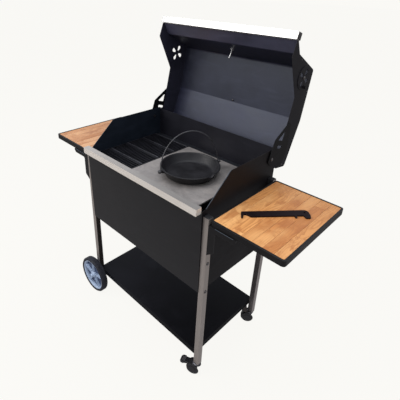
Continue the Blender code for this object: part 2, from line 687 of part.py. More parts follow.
def build_brackets():
    """Pressed L brackets: a web, an arm under the table and a flange down the leg."""
    top = TABLE_TOP_Z - TABLE_EDGE - GAP
    face = FRAME_HALF_X + GAP
    slope = 0.022
    for side, sx in (("left", -1), ("right", 1)):
        for end, sy in (("front", -1), ("back", 1)):
            outline = [(face, BRACKET_FOOT_Z), (BRACKET_WEB_X, BRACKET_FOOT_Z + slope),
                       (BRACKET_WEB_X, top - BRACKET_ARM - 0.006), (BRACKET_WEB_X + 0.006, top - BRACKET_ARM),
                       (BRACKET_REACH_X - 0.010, top - BRACKET_ARM), (BRACKET_REACH_X, top - BRACKET_ARM + 0.010),
                       (BRACKET_REACH_X, top), (face, top)]
            outline = [(sx * x, z) for x, z in outline]
            web_y = sy * (FRAME_HALF_Y - BRACKET_SHEET / 2)
            name = f"bracket_{end}_{side}"
            web = solid(plate(name, [outline], "Y", (0, web_y, 0), BRACKET_SHEET, BLACK_STEEL))
            web.data.materials.append(BLACK_STEEL)
            y_out, y_in = sy * FRAME_HALF_Y, sy * (FRAME_HALF_Y - LEG)
            low_y, high_y = min(y_out, y_in), max(y_out, y_in)
            x_flange = sorted((sx * face, sx * (face + BRACKET_SHEET)))
            unite(web, box_mesh((x_flange[0], low_y, BRACKET_FOOT_Z), (x_flange[1], high_y, top), "flange"))
            x_arm = sorted((sx * face, sx * BRACKET_REACH_X))
            unite(web, box_mesh((x_arm[0], low_y, top - BRACKET_SHEET), (x_arm[1], high_y, top), "arm"))


# ---------------------------------------------------------------- shelf and running gear

def build_shelf():
    half_x, half_y = SHELF_HALF_X, SHELF_HALF_Y
    low = SHELF_TOP_Z - SHELF_SKIRT
    shelf = box("bottom_shelf", (-half_x, -half_y, low), (half_x, half_y, SHELF_TOP_Z), BLACK_STEEL)
    inner = SHEET
    cut(shelf, box_mesh((-half_x + inner, -half_y + inner, low - inner),
                        (half_x - inner, half_y - inner, SHELF_TOP_Z - inner), "underside"))


def build_axle():
    x = -LEG_X
    reach = WHEEL_FACE_Y + 0.006
    cylinder("axle", AXLE_R, (x, -reach, WHEEL_R), (x, reach, WHEEL_R), BRIGHT_STEEL)


def build_wheel(end, sign):
    """A tyre on a spoked plastic hub, turning on the axle along Y."""
    face = sign * WHEEL_FACE_Y
    middle = (-LEG_X, sign * (WHEEL_FACE_Y - WHEEL_WIDTH / 2), WHEEL_R)
    axis = pivot(f"wheel_{end}_spin", middle, (math.pi / 2, 0, 0))
    w = WHEEL_WIDTH / 2
    r = HUB_R + GAP
    tyre_profile = [(r, w - 0.004), (r + 0.006, w), (WHEEL_R - 0.004, w - 0.002), (WHEEL_R, w - 0.008),
                    (WHEEL_R, -w + 0.008), (WHEEL_R - 0.004, -w + 0.002), (r + 0.006, -w), (r, -w + 0.004)]
    turned(f"tyre_{end}", tyre_profile, (0, 0, 0), TYRE, axis, 56)
    rim_in = HUB_R - 0.010
    rim_profile = [(rim_in, w - 0.006), (HUB_R, w - 0.004), (HUB_R, -w + 0.004), (rim_in, -w + 0.006)]
    hub = turned(f"hub_{end}", rim_profile, (0, 0, 0), HUB_PLASTIC, axis, 56)
    barrel = cylinder_mesh(0.017, (0, 0, -w), (0, 0, w), "barrel", 28)
    unite(hub, barrel)
    spoke_w = 0.011
    for k in range(HUB_SPOKES):
        bm = bmesh.new()
        bmesh.ops.create_cube(bm, size=1.0)
        length = rim_in + 0.004 - 0.010
        bmesh.ops.scale(bm, vec=(length, spoke_w, WHEEL_WIDTH - 0.018), verts=bm.verts)
        bmesh.ops.translate(bm, vec=(0.010 + length / 2, 0, 0), verts=bm.verts)
        turn = Matrix.Rotation(math.tau * k / HUB_SPOKES + math.pi / 2, 4, "Z")
        bmesh.ops.transform(bm, matrix=turn, verts=bm.verts)
        unite(hub, mesh_from(bm, "spoke"))
    cut(hub, cylinder_mesh(AXLE_R + GAP, (0, 0, -0.04), (0, 0, 0.04), "bore", 20))
    cap = "axle_cap_" + end
    cap_y = face + sign * GAP, face + sign * 0.008
    nut = cylinder(cap, 0.010, (-LEG_X, cap_y[0], WHEEL_R), (-LEG_X, cap_y[1], WHEEL_R), BLACK_PLASTIC, sides=24)
    hole = (-LEG_X, face - sign * 0.01, WHEEL_R), (-LEG_X, face + sign * (0.006 + GAP), WHEEL_R)
    cut(nut, cylinder_mesh(AXLE_R + GAP / 2, *hole, "hole", 24))


def build_caster(end, sign):
    """A swivel caster in the foot of a right-hand leg: plug, fork and wheel."""
    x, y = LEG_X, sign * LEG_Y
    bore = LEG / 2 - LEG_WALL - GAP
    plug = box(f"caster_plug_{end}", (x - LEG / 2, y - LEG / 2, LEG_FOOT_Z - 0.003 - GAP),
               (x + LEG / 2, y + LEG / 2, LEG_FOOT_Z - GAP), BLACK_PLASTIC)
    body = (x - bore, y - bore, LEG_FOOT_Z - 0.001), (x + bore, y + bore, LEG_FOOT_Z + 0.028)
    unite(plug, box_mesh(*body, "body"))
    socket = (x, y, LEG_FOOT_Z - 0.01), (x, y, LEG_FOOT_Z + 0.024)
    cut(plug, cylinder_mesh(CASTER_STEM_R + GAP, *socket, "socket", 20))
    swivel = pivot(f"caster_{end}_swivel", (x, y, 0), (0, 0, math.radians(CASTER_TURN[end])))
    top = LEG_FOOT_Z - 0.003 - 2 * GAP
    cheek_y = CASTER_WIDTH / 2 + 0.0015 + CASTER_CHEEK / 2
    crown = circle((0.006, 0), cheek_y + CASTER_CHEEK / 2 + 0.001, 24)
    fork = solid(plate(f"caster_fork_{end}", [crown], "Z", (0, 0, top - 0.002), 0.004, BRIGHT_STEEL, swivel))
    fork.data.materials.append(BRIGHT_STEEL)
    cheek = fillet([(-0.004, top - 0.001), (0.014, top - 0.001), (CASTER_TRAIL + 0.006, CASTER_R + 0.004),
                    (CASTER_TRAIL + 0.004, CASTER_R - 0.006), (CASTER_TRAIL - 0.006, CASTER_R - 0.005)],
                   [0, 0.002, 0.005, 0.004, 0.004], closed=True)
    for side in (-1, 1):
        unite(fork, plate_mesh([cheek], "Y", (0, side * cheek_y, 0), CASTER_CHEEK))
    pin_end = cheek_y + CASTER_CHEEK / 2 + 0.002
    unite(fork, cylinder_mesh(CASTER_PIN_R, (CASTER_TRAIL, -pin_end, CASTER_R), (CASTER_TRAIL, pin_end, CASTER_R),
                              "pin", 16))
    unite(fork, cylinder_mesh(CASTER_STEM_R, (0, 0, top - 0.003), (0, 0, LEG_FOOT_Z + 0.020), "stem", 20))
    spin = pivot(f"caster_{end}_spin", (CASTER_TRAIL, 0, CASTER_R), (math.pi / 2, 0, 0), swivel)
    w, r, b = CASTER_WIDTH / 2, CASTER_R, CASTER_PIN_R + GAP
    profile = [(b, w), (0.008, w), (0.010, w - 0.002), (r - 0.007, w - 0.002), (r - 0.005, w), (r - 0.002, w - 0.001),
               (r, w - 0.004), (r, -w + 0.004), (r - 0.002, -w + 0.001), (r - 0.005, -w),
               (r - 0.007, -w + 0.002), (0.010, -w + 0.002), (0.008, -w), (b, -w)]
    turned(f"caster_wheel_{end}", profile, (0, 0, 0), BLACK_PLASTIC, spin, 36)
    return swivel


def build_brake(swivel):
    """Foot pedal over the front caster's wheel; it rocks on a pin between the fork's cheeks."""
    pedal_y = CASTER_WIDTH / 2
    hinge_x, hinge_z = 0.016, LEG_FOOT_Z - 0.0125
    rock = pivot("brake_rock", (hinge_x, 0, hinge_z), (0, 0, 0), swivel)
    outline = [(0.000, 0.003), (-0.003, 0.0), (0.000, -0.003), (0.010, -0.0022), (0.022, -0.0030), (0.038, -0.010),
               (0.050, -0.016), (0.062, -0.012), (0.064, -0.004), (0.052, 0.002), (0.030, 0.002), (0.012, 0.003)]
    outline = fillet(outline, [0.001] * 6 + [0.005, 0.005, 0.004, 0.004, 0.002, 0.001], steps=3, closed=True)
    arm = solid(plate("brake_pedal", [outline], "Y", (0, 0, 0), CASTER_WIDTH, BLACK_PLASTIC, rock))
    arm.data.materials.append(BLACK_PLASTIC)
    pad = [(0.040, 0.0015), (0.052, 0.0015), (0.060, -0.004), (0.060, -0.010), (0.050, -0.013), (0.041, -0.007)]
    unite(arm, plate_mesh([fillet(pad, 0.003, closed=True)], "Y", (0, 0, 0), 2 * pedal_y + 0.008))


def build_running_gear():
    build_axle()
    for end, sign in (("front", -1), ("back", 1)):
        build_wheel(end, sign)
        swivel = build_caster(end, sign)
        if end == "front":
            build_brake(swivel)


def build():
    build_legs()
    build_front_panel()
    build_back_panel()
    build_side_panels()
    build_firebox_inside()
    build_front_rail()
    build_cooking_plates()
    hinge = pivot("hood_hinge", (0, HINGE_Y, HINGE_Z), (-math.radians(HOOD_OPEN_DEG), 0, 0))
    build_hood_shell(hinge)
    build_hood_ends(hinge)
    build_hinge_plates(hinge)
    build_dampers(hinge)
    build_handle(hinge)
    build_gauge(hinge)
    build_pan()
    build_bail()
    build_lifter()
    build_tables()
    build_brackets()
    build_shelf()
    build_running_gear()
    bpy.context.view_layer.update()


build()
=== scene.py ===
import json
import math

import bmesh
import bpy
from mathutils import Matrix, Vector


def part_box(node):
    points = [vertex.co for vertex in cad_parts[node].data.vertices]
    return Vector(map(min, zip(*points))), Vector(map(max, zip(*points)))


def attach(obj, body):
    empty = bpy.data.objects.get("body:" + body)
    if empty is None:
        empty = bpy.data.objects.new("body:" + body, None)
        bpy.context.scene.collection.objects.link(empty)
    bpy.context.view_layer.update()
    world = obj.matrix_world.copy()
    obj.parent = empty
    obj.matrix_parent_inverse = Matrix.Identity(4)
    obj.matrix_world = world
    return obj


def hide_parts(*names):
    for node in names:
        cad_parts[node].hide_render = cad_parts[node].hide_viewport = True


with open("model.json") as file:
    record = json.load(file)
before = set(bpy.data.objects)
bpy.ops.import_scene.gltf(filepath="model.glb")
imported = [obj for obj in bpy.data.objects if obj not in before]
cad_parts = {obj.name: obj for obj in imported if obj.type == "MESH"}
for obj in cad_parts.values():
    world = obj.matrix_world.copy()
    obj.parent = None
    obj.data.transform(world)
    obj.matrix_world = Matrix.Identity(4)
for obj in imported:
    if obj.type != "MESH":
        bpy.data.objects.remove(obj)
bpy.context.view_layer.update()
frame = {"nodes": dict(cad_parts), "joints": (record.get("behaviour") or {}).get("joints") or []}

NODES = frame["nodes"]


# ---------------------------------------------------------------- joints and places

def joint_pos(name):
    found = next(joint for joint in frame["joints"] if joint["name"] == name)
    return Vector(found["pos_m"])


def middle(node):
    low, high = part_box(node)
    return (low + high) / 2


# ---------------------------------------------------------------- node materials

def fill_ramp(node, stops):
    """Gives a colour ramp its stops, each a place and a colour."""
    points = node.color_ramp.elements
    while len(points) < len(stops):
        points.new(0.5)
    for point, (place, colour) in zip(points, stops):
        point.position = place
        point.color = (*colour, 1.0)


def toned(colour, factor, lift=0.0):
    """A colour made lighter or darker, and never above 1."""
    return tuple(min(1.0, part * factor + lift) for part in colour)


class Shader:
    """Builds a node material around one Principled shader."""

    def __init__(self, name, metallic=0.0, **sockets):
        self.mat = bpy.data.materials.new(name)
        self.mat.use_nodes = True
        self.tree = self.mat.node_tree
        self.bsdf = self.tree.nodes["Principled BSDF"]
        self.bsdf.inputs["Metallic"].default_value = metallic
        for key, value in sockets.items():
            self.bsdf.inputs[key.replace("_", " ")].default_value = value
        self.coords = self.node("ShaderNodeTexCoord").outputs["Object"]

    def node(self, kind, **settings):
        made = self.tree.nodes.new(kind)
        for key, value in settings.items():
            setattr(made, key, value)
        return made

    def join(self, source, target):
        self.tree.links.new(source, target)

    def set(self, socket, value):
        if isinstance(value, (int, float, tuple)):
            socket.default_value = value
        else:
            self.join(value, socket)

    def scaled(self, scale, coords=None, turn=(0, 0, 0)):
        mapping = self.node("ShaderNodeMapping")
        mapping.inputs["Scale"].default_value = scale
        mapping.inputs["Rotation"].default_value = turn
        self.join(coords or self.coords, mapping.inputs["Vector"])
        return mapping.outputs["Vector"]

    def noise(self, vector, scale, detail=3.0, rough=0.55, distort=0.0):
        made = self.node("ShaderNodeTexNoise")
        made.inputs["Scale"].default_value = scale
        made.inputs["Detail"].default_value = detail
        made.inputs["Roughness"].default_value = rough
        made.inputs["Distortion"].default_value = distort
        self.join(vector, made.inputs["Vector"])
        return made.outputs["Fac"]

    def ramp(self, value, stops):
        made = self.node("ShaderNodeValToRGB")
        fill_ramp(made, stops)
        self.join(value, made.inputs["Fac"])
        return made.outputs["Color"]

    def span(self, value, low, high, start=0.0, stop=1.0):
        made = self.node("ShaderNodeMapRange")
        made.inputs["From Min"].default_value = start
        made.inputs["From Max"].default_value = stop
        made.inputs["To Min"].default_value = low
        made.inputs["To Max"].default_value = high
        self.join(value, made.inputs["Value"])
        return made.outputs["Result"]

    def mix(self, factor, first, second, blend="MIX"):
        made = self.node("ShaderNodeMix", data_type="RGBA", blend_type=blend)
        self.set(made.inputs[0], factor)
        for socket, value in ((made.inputs[6], first), (made.inputs[7], second)):
            if isinstance(value, tuple) and len(value) == 3:
                value = (*value, 1.0)
            self.set(socket, value)
        return made.outputs[2]

    def math(self, operation, first, second=0.0):
        made = self.node("ShaderNodeMath", operation=operation)
        self.set(made.inputs[0], first)
        self.set(made.inputs[1], second)
        return made.outputs[0]

    def times(self, first, second):
        return self.math("MULTIPLY", first, second)

    def split(self, vector):
        made = self.node("ShaderNodeSeparateXYZ")
        self.join(vector, made.inputs[0])
        return made.outputs

    def combine(self, x, y=0.0, z=0.0):
        made = self.node("ShaderNodeCombineXYZ")
        for socket, value in zip(made.inputs, (x, y, z)):
            self.set(socket, value)
        return made.outputs[0]

    def add_vectors(self, first, second):
        made = self.node("ShaderNodeVectorMath", operation="ADD")
        self.join(first, made.inputs[0])
        self.join(second, made.inputs[1])
        return made.outputs[0]

    def random(self, value):
        made = self.node("ShaderNodeTexWhiteNoise", noise_dimensions="1D")
        self.join(value, made.inputs["W"])
        return made.outputs["Value"]

    def colour(self, value):
        self.set(self.bsdf.inputs["Base Color"], value)

    def roughness(self, value):
        self.set(self.bsdf.inputs["Roughness"], value)

    def bump(self, height, depth, strength=1.0):
        made = self.node("ShaderNodeBump")
        made.inputs["Strength"].default_value = strength
        made.inputs["Distance"].default_value = depth
        self.join(height, made.inputs["Height"])
        previous = self.bsdf.inputs["Normal"]
        if previous.is_linked:
            self.join(previous.links[0].from_socket, made.inputs["Normal"])
        self.join(made.outputs["Normal"], previous)

    def edge_wear(self, radius):
        """1 along hard edges and 0 on flat faces."""
        bevel = self.node("ShaderNodeBevel", samples=4)
        bevel.inputs["Radius"].default_value = radius
        geometry = self.node("ShaderNodeNewGeometry")
        dot = self.node("ShaderNodeVectorMath", operation="DOT_PRODUCT")
        self.join(bevel.outputs["Normal"], dot.inputs[0])
        self.join(geometry.outputs["Normal"], dot.inputs[1])
        return self.span(dot.outputs["Value"], 1.0, 0.0, 0.80, 0.99)


WORN_EDGE = (0.075, 0.077, 0.082)
DARK_EDGE = (0.05, 0.05, 0.055)
HANDLED_TINT = (0.9, 0.88, 0.84)


def painted_steel(name, base, edge=WORN_EDGE, rough=(0.36, 0.50), dust=0.35, gloss=0.5,
                  sheen_tint=(1.0, 1.0, 1.0), painted_light_fades=()):
    """Black stove enamel on sheet steel: mottling, orange peel, dusty smears and rubbed edges.

    A painted-light fade is an axis, two places along it and the tint reached at the second: it paints light
    or shade that grows along that axis."""
    s = Shader(name, Specular_IOR_Level=gloss, Specular_Tint=(*sheen_tint, 1.0))
    clouds = s.noise(s.coords, 9.0, 4.0, 0.6)
    smears = s.noise(s.scaled((3.0, 3.0, 14.0)), 2.2, 5.0, 0.6, 0.6)
    tone = s.mix(s.span(clouds, 0.0, 1.0, 0.35, 0.70), toned(base, 0.80), toned(base, 1.20))
    dusty = s.times(s.span(smears, 0.0, 1.0, 0.52, 0.75), dust)
    tone = s.mix(dusty, tone, toned(base, 2.0, 0.006))
    tone = s.mix(s.times(s.edge_wear(0.0012), 0.55), tone, edge)
    place = s.split(s.coords)
    # Each fade multiplies the colour by a tint along one axis: painted light or shade.
    for axis, start, stop, tint in painted_light_fades:
        tinted = s.mix(1.0, tone, tint, "MULTIPLY")
        tone = s.mix(s.span(place[axis], 0.0, 1.0, start, stop), tone, tinted)
    s.colour(tone)
    uneven = s.math("ADD", clouds, s.times(smears, 0.6))
    s.roughness(s.span(uneven, rough[0], rough[1], 0.5, 1.0))
    s.bump(s.noise(s.coords, 900.0, 2.0), 0.00006)
    s.bump(s.noise(s.coords, 7.0, 2.0), 0.0012, 0.35)
    return s.mat


def brushed_metal(name, along, base, rough, metallic=1.0, painted_shade_side=None):
    """Steel brushed along one axis, with faint handling marks.

    A painted-shade side is the axis it faces, its sign and its shade tints at the left and right of the
    object: faces turned that way are darkened to paint the shade on them."""
    s = Shader(name, metallic=metallic)
    stretch = [900.0, 900.0, 900.0]
    stretch["XYZ".index(along)] = 9.0
    grain = s.noise(s.scaled(tuple(stretch)), 1.0, 3.0, 0.6)
    clouds = s.noise(s.coords, 11.0, 4.0, 0.6)
    tone = s.mix(s.span(grain, 0.0, 1.0, 0.25, 0.75), toned(base, 0.82), toned(base, 1.12))
    handled = s.times(s.span(clouds, 0.0, 1.0, 0.45, 0.75), 0.25)
    tone = s.mix(handled, tone, tuple(a * b * 0.8 for a, b in zip(base, HANDLED_TINT)))
    # Faces turned along the given axis get painted shade, its tint changing from left to right.
    if painted_shade_side:
        axis, sign, left_shade, right_shade = painted_shade_side
        normal = s.split(s.node("ShaderNodeNewGeometry").outputs["True Normal"])
        facing = s.span(s.times(normal[axis], sign), 0.0, 1.0, 0.3, 0.8)
        across = s.span(s.split(s.coords)["X"], 0.0, 1.0, -0.36, 0.12)
        shade = s.mix(across, left_shade, right_shade)
        tone = s.mix(facing, tone, s.mix(1.0, tone, shade, "MULTIPLY"))
    s.colour(tone)
    uneven = s.math("ADD", s.times(grain, 0.5), s.times(clouds, 0.5))
    s.roughness(s.span(uneven, rough[0], rough[1], 0.3, 0.7))
    s.bump(grain, 0.00004)
    return s.mat


def bare_plate(name):
    """The hotplate: matt rolled steel with oil stains and cross-hatched scraping marks."""
    s = Shader(name, metallic=0.50)
    grain = s.noise(s.scaled((8.0, 260.0, 60.0)), 1.0, 3.0, 0.6)
    cross = s.noise(s.scaled((260.0, 9.0, 60.0), turn=(0, 0, 0.35)), 1.0, 3.0, 0.6)
    blotch = s.noise(s.coords, 7.0, 5.0, 0.6, 0.8)
    fine = s.noise(s.coords, 60.0, 4.0, 0.65)
    tone = s.ramp(blotch, [(0.32, (0.225, 0.203, 0.190)),
                           (0.50, (0.330, 0.297, 0.278)),
                           (0.68, (0.440, 0.396, 0.368))])
    tone = s.mix(s.span(fine, 0.0, 0.35, 0.45, 0.75), tone, (0.12, 0.115, 0.115))
    scraped = s.span(s.math("ADD", grain, cross), 0.0, 0.30, 0.85, 1.20)
    tone = s.mix(scraped, tone, (0.36, 0.36, 0.36))
    s.colour(tone)
    s.roughness(s.span(s.math("ADD", blotch, s.times(fine, 0.5)), 0.42, 0.62, 0.5, 1.0))
    s.bump(s.math("ADD", grain, cross), 0.00004)
    s.bump(fine, 0.00008)
    return s.mat


def cast_iron(name, base, sheen, grain=420.0, depth=0.00022, gloss=0.55):
    """Seasoned cast iron: a sandy skin with patchy oil."""
    s = Shader(name, Specular_IOR_Level=gloss)
    sand = s.noise(s.coords, grain, 3.0, 0.65)
    patch = s.noise(s.coords, 18.0, 4.0, 0.6, 0.4)
    tone = s.mix(s.span(patch, 0.0, 1.0, 0.38, 0.66), toned(base, 0.75), toned(base, 1.5))
    tone = s.mix(s.times(s.edge_wear(0.001), 0.25), tone, (0.045, 0.043, 0.045))
    s.colour(tone)
    s.roughness(s.span(patch, sheen[0], sheen[1], 0.35, 0.7))
    s.bump(sand, depth, 0.6)
    return s.mat


STRIPS = 7                # glued strips in each table board
STAVE_LENGTH = 0.46       # the pieces that make up one strip, end to end
STRIP_TONES = [(0.0, (0.52, 0.245, 0.095)),
               (0.22, (0.66, 0.36, 0.155)),
               (0.50, (0.74, 0.43, 0.20)),
               (0.78, (0.60, 0.30, 0.125)),
               (1.0, (0.82, 0.52, 0.27))]


def wood_rings(s, place):
    """Growth rings that run front to back and waver."""
    warp = s.noise(s.scaled((16.0, 3.2, 10.0), place), 1.0, 2.0, 0.5, 1.2)
    bent = s.add_vectors(s.scaled((1.0, 0.10, 1.0), place), s.combine(s.times(warp, 0.110)))
    rings = s.node("ShaderNodeTexWave", wave_type="BANDS", bands_direction="X", wave_profile="SAW")
    s.join(bent, rings.inputs["Vector"])
    for socket, value in (("Scale", 30.0), ("Distortion", 2.6), ("Detail", 2.0), ("Detail Scale", 1.4)):
        rings.inputs[socket].default_value = value
    return rings.outputs["Fac"]


def past_middle(s, value, reach):
    """1 where a 0 to 1 value is further than the reach from 0.5."""
    return s.math("GREATER_THAN", s.math("ABSOLUTE", s.math("SUBTRACT", value, 0.5)), reach)


def strip_wood(name, side, seed, tint):
    """Strips of hardwood glued side by side, running front to back, each with its own tone and grain."""
    low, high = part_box(f"table_board_{side}")
    width = (high.x - low.x) / STRIPS
    s = Shader(name, Specular_IOR_Level=0.35, Coat_Weight=0.10, Coat_Roughness=0.35)
    world = s.split(s.coords)
    across = s.math("DIVIDE", s.math("SUBTRACT", world["X"], low.x), width)
    strip = s.math("FLOOR", across)
    slide = s.times(s.random(s.math("ADD", strip, seed)), STAVE_LENGTH)
    along = s.math("ADD", s.math("SUBTRACT", world["Y"], low.y), slide)
    along = s.math("DIVIDE", along, STAVE_LENGTH)
    key = s.math("ADD", s.times(strip, 7.13), s.times(s.math("FLOOR", along), 3.31))
    place = s.add_vectors(s.coords, s.combine(s.times(key, 0.37), s.times(key, 1.91), key))
    fibre = s.noise(s.scaled((420.0, 11.0, 60.0), place), 1.0, 4.0, 0.65)
    cloud = s.noise(s.scaled((9.0, 3.0, 4.0), place), 1.0, 3.0, 0.5, 0.5)
    knots = s.noise(s.scaled((13.0, 7.0, 6.0), place), 1.0, 3.0, 0.55, 1.6)
    tone = s.ramp(s.random(key), STRIP_TONES)
    tone = s.mix(s.span(wood_rings(s, place), 0.0, 0.62, 0.35, 1.0), tone, (0.36, 0.150, 0.052))
    tone = s.mix(s.span(cloud, 0.0, 0.65, 0.42, 0.66), tone, (0.88, 0.60, 0.33))
    tone = s.mix(s.span(knots, 0.0, 0.70, 0.50, 0.66), tone, (0.40, 0.165, 0.058))
    backward = s.span(world["Y"], 0.0, 0.45, low.y + 0.08, high.y)
    tone = s.mix(backward, tone, (0.36, 0.175, 0.068))
    tone = s.mix(s.span(fibre, 0.35, 0.0, 0.25, 0.55), tone, (0.30, 0.13, 0.05))
    side_seam = past_middle(s, s.math("FRACT", across), 0.489)
    end_seam = past_middle(s, s.math("FRACT", along), 0.4978)
    seam = s.math("MAXIMUM", side_seam, end_seam)
    tone = s.mix(s.times(seam, 0.14), tone, (0.22, 0.095, 0.04))
    s.colour(s.mix(1.0, tone, tint, "MULTIPLY"))
    s.roughness(s.span(fibre, 0.38, 0.56, 0.3, 0.7))
    s.bump(fibre, 0.00010, 0.7)
    s.bump(s.math("SUBTRACT", 1.0, seam), 0.0003)
    return s.mat


def rubber(name, base):
    """Dusty black rubber."""
    s = Shader(name, Specular_IOR_Level=0.4)
    dust = s.noise(s.coords, 24.0, 4.0, 0.65)
    tone = s.mix(s.span(dust, 0.0, 1.0, 0.40, 0.72), base, toned(base, 2.6))
    s.colour(tone)
    s.roughness(s.span(dust, 0.55, 0.80, 0.3, 0.7))
    s.bump(s.noise(s.coords, 700.0, 2.0), 0.00010, 0.6)
    return s.mat


def moulded(name, base, rough=(0.28, 0.44)):
    """Moulded plastic with a light texture and scuffs."""
    s = Shader(name, Specular_IOR_Level=0.5)
    scuff = s.noise(s.scaled((40.0, 40.0, 40.0)), 1.0, 5.0, 0.7)
    tone = s.mix(s.span(scuff, 0.0, 1.0, 0.42, 0.72), base, toned(base, 1.35, 0.004))
    s.colour(tone)
    s.roughness(s.span(scuff, rough[0], rough[1], 0.3, 0.7))
    s.bump(s.noise(s.coords, 520.0, 2.0), 0.00006)
    return s.mat


def plated(name, base, rough):
    """Plated steel with a cloudy shine."""
    s = Shader(name, metallic=1.0)
    clouds = s.noise(s.coords, 55.0, 4.0, 0.6)
    s.colour(s.mix(s.span(clouds, 0.0, 1.0, 0.35, 0.7), toned(base, 0.8), base))
    s.roughness(s.span(clouds, rough[0], rough[1], 0.3, 0.7))
    s.bump(s.noise(s.coords, 300.0, 2.0), 0.00003)
    return s.mat


PANEL = painted_steel("panel_enamel", (0.0078, 0.0072, 0.0078), gloss=0.33)
# The right side paint is darkened as painted shade; the left side's navy tone is a painted sky reflection
# on its inner face.
SIDE_PAINT = painted_steel("side_enamel_painted_shade", (0.0050, 0.0042, 0.0050), DARK_EDGE, (0.44, 0.58), gloss=0.15)
LEFT_SIDE_PAINT = painted_steel("left_side_enamel_painted_reflection", (0.0085, 0.0125, 0.0200), DARK_EDGE, (0.44, 0.58),
                                gloss=0.22)
# The back panel's blue cast is a painted sky reflection.
BACK_PAINT = painted_steel("back_enamel_painted_reflection", (0.0080, 0.0078, 0.0120), DARK_EDGE, (0.42, 0.56), gloss=0.32)
INSIDE = painted_steel("inside_enamel", (0.008, 0.009, 0.012), rough=(0.45, 0.60), dust=0.5, gloss=0.3)
# The hood's blue cast and blue sheen tint paint the sky's reflection; the lip and back fades paint light on
# those bands of the hood.
LIP_PAINTED_LIGHT = ("Z", 1.344, 1.350, (2.6, 2.5, 2.3))
BACK_PAINTED_LIGHT = ("Z", 1.064, 1.058, (1.28, 1.26, 1.32))
HOOD_PAINT = painted_steel("hood_enamel_painted_light", (0.0185, 0.0195, 0.0340), rough=(0.34, 0.46), dust=0.4,
                           sheen_tint=(0.84, 0.90, 1.0), painted_light_fades=(LIP_PAINTED_LIGHT, BACK_PAINTED_LIGHT))
# The right end plate and damper are darkened as painted shade; the left ones are lightened and bluer as
# painted light and sky reflection.
END_PAINT = painted_steel("hood_end_enamel_painted_shade", (0.0068, 0.0062, 0.0090), (0.05, 0.05, 0.056),
                          (0.42, 0.54), gloss=0.12)
LEFT_END_PAINT = painted_steel("left_end_enamel_painted_light", (0.022, 0.022, 0.036), (0.05, 0.05, 0.056),
                               (0.42, 0.54), gloss=0.4)
# The shelf darkens towards its right end: painted shade.
SHELF_PAINT = painted_steel("shelf_enamel_painted_shade", (0.0078, 0.0078, 0.0108), DARK_EDGE, (0.50, 0.62), 0.6, 0.11,
                            painted_light_fades=[("X", -0.20, 0.25, (0.25, 0.25, 0.30))])
TRIM_PAINT = painted_steel("trim_enamel", (0.0065, 0.0058, 0.0060), (0.05, 0.05, 0.052),
                           (0.40, 0.52), 0.3, 0.24)
HINGE_PAINT = painted_steel("hinge_enamel", (0.0050, 0.0048, 0.0055), (0.04, 0.04, 0.042),
                            (0.46, 0.58), 0.2, 0.10)
LEG_TONE, LEG_ROUGH, LEG_METAL = (0.40, 0.355, 0.320), (0.34, 0.48), 0.65
LEG_STEEL = brushed_metal("leg_steel", "Z", LEG_TONE, LEG_ROUGH, LEG_METAL)
# The front left leg's +X face and the back right leg's front face are darkened as painted shade, and the
# back right leg's steel is a darker, shaded copy.
LEFT_SHADE = (0.16, 0.15, 0.15)
LEFT_LEG_STEEL = brushed_metal("left_leg_steel_painted_shade", "Z", LEG_TONE, LEG_ROUGH, LEG_METAL,
                               ("X", 1.0, LEFT_SHADE, LEFT_SHADE))
BACK_SHADE = (0.42, 0.42, 0.44)
BACK_LEG_STEEL = brushed_metal("back_leg_steel_painted_shade", "Z", (0.36, 0.320, 0.300), LEG_ROUGH, LEG_METAL,
                               ("Y", -1.0, BACK_SHADE, BACK_SHADE))
# The rail's tone is raised so its front face reads lit, and its top face gets painted shade that deepens to
# the right.
RAIL_STEEL = brushed_metal("rail_steel_painted_shade", "X", (0.90, 0.825, 0.745), (0.42, 0.54), 0.50,
                           ("Z", 1.0, (0.58, 0.58, 0.59), (0.34, 0.345, 0.36)))
HANDLE_STEEL = brushed_metal("handle_steel", "X", (0.62, 0.61, 0.59), (0.26, 0.40))
PLATE_STEEL = bare_plate("hotplate_finish")
GRATE_IRON = cast_iron("grate_enamel", (0.0055, 0.0055, 0.0080), (0.45, 0.60), 300.0, 0.00010, 0.3)
PAN_IRON = cast_iron("pan_iron", (0.0085, 0.0080, 0.0095), (0.40, 0.56), gloss=0.35)
LIFTER_IRON = cast_iron("lifter_iron", (0.0060, 0.0020, 0.0028), (0.50, 0.64), gloss=0.12)
WOOD_LEFT = strip_wood("wood_left", "left", 21.3, (0.86, 0.74, 0.70))
WOOD_RIGHT = strip_wood("wood_right", "right", 3.7, (1.0, 0.80, 0.56))
TYRE = rubber("tyre_rubber_worn", (0.0075, 0.0080, 0.0125))
HUB = moulded("hub_plastic_blue", (0.34, 0.42, 0.55), (0.25, 0.42))
# The hub web's dark blue paints the shade in the windows between the spokes.
HUB_WEB_SHADE = moulded("hub_web_painted_shade", (0.035, 0.050, 0.105), (0.30, 0.46))
BLACK_MOULDING = moulded("black_moulding", (0.012, 0.012, 0.013))
PLATED = plated("plated_steel", (0.62, 0.61, 0.60), (0.16, 0.32))
DARK_PLATED = plated("dark_plated", (0.16, 0.15, 0.15), (0.30, 0.45))
CASTER_ZINC = plated("caster_zinc", (0.20, 0.195, 0.21), (0.36, 0.50))
CASTER_BLACK = moulded("caster_black", (0.0070, 0.0065, 0.0080), (0.40, 0.55))
LEVER_BROWN = moulded("lever_brown", (0.022, 0.014, 0.011), (0.40, 0.55))
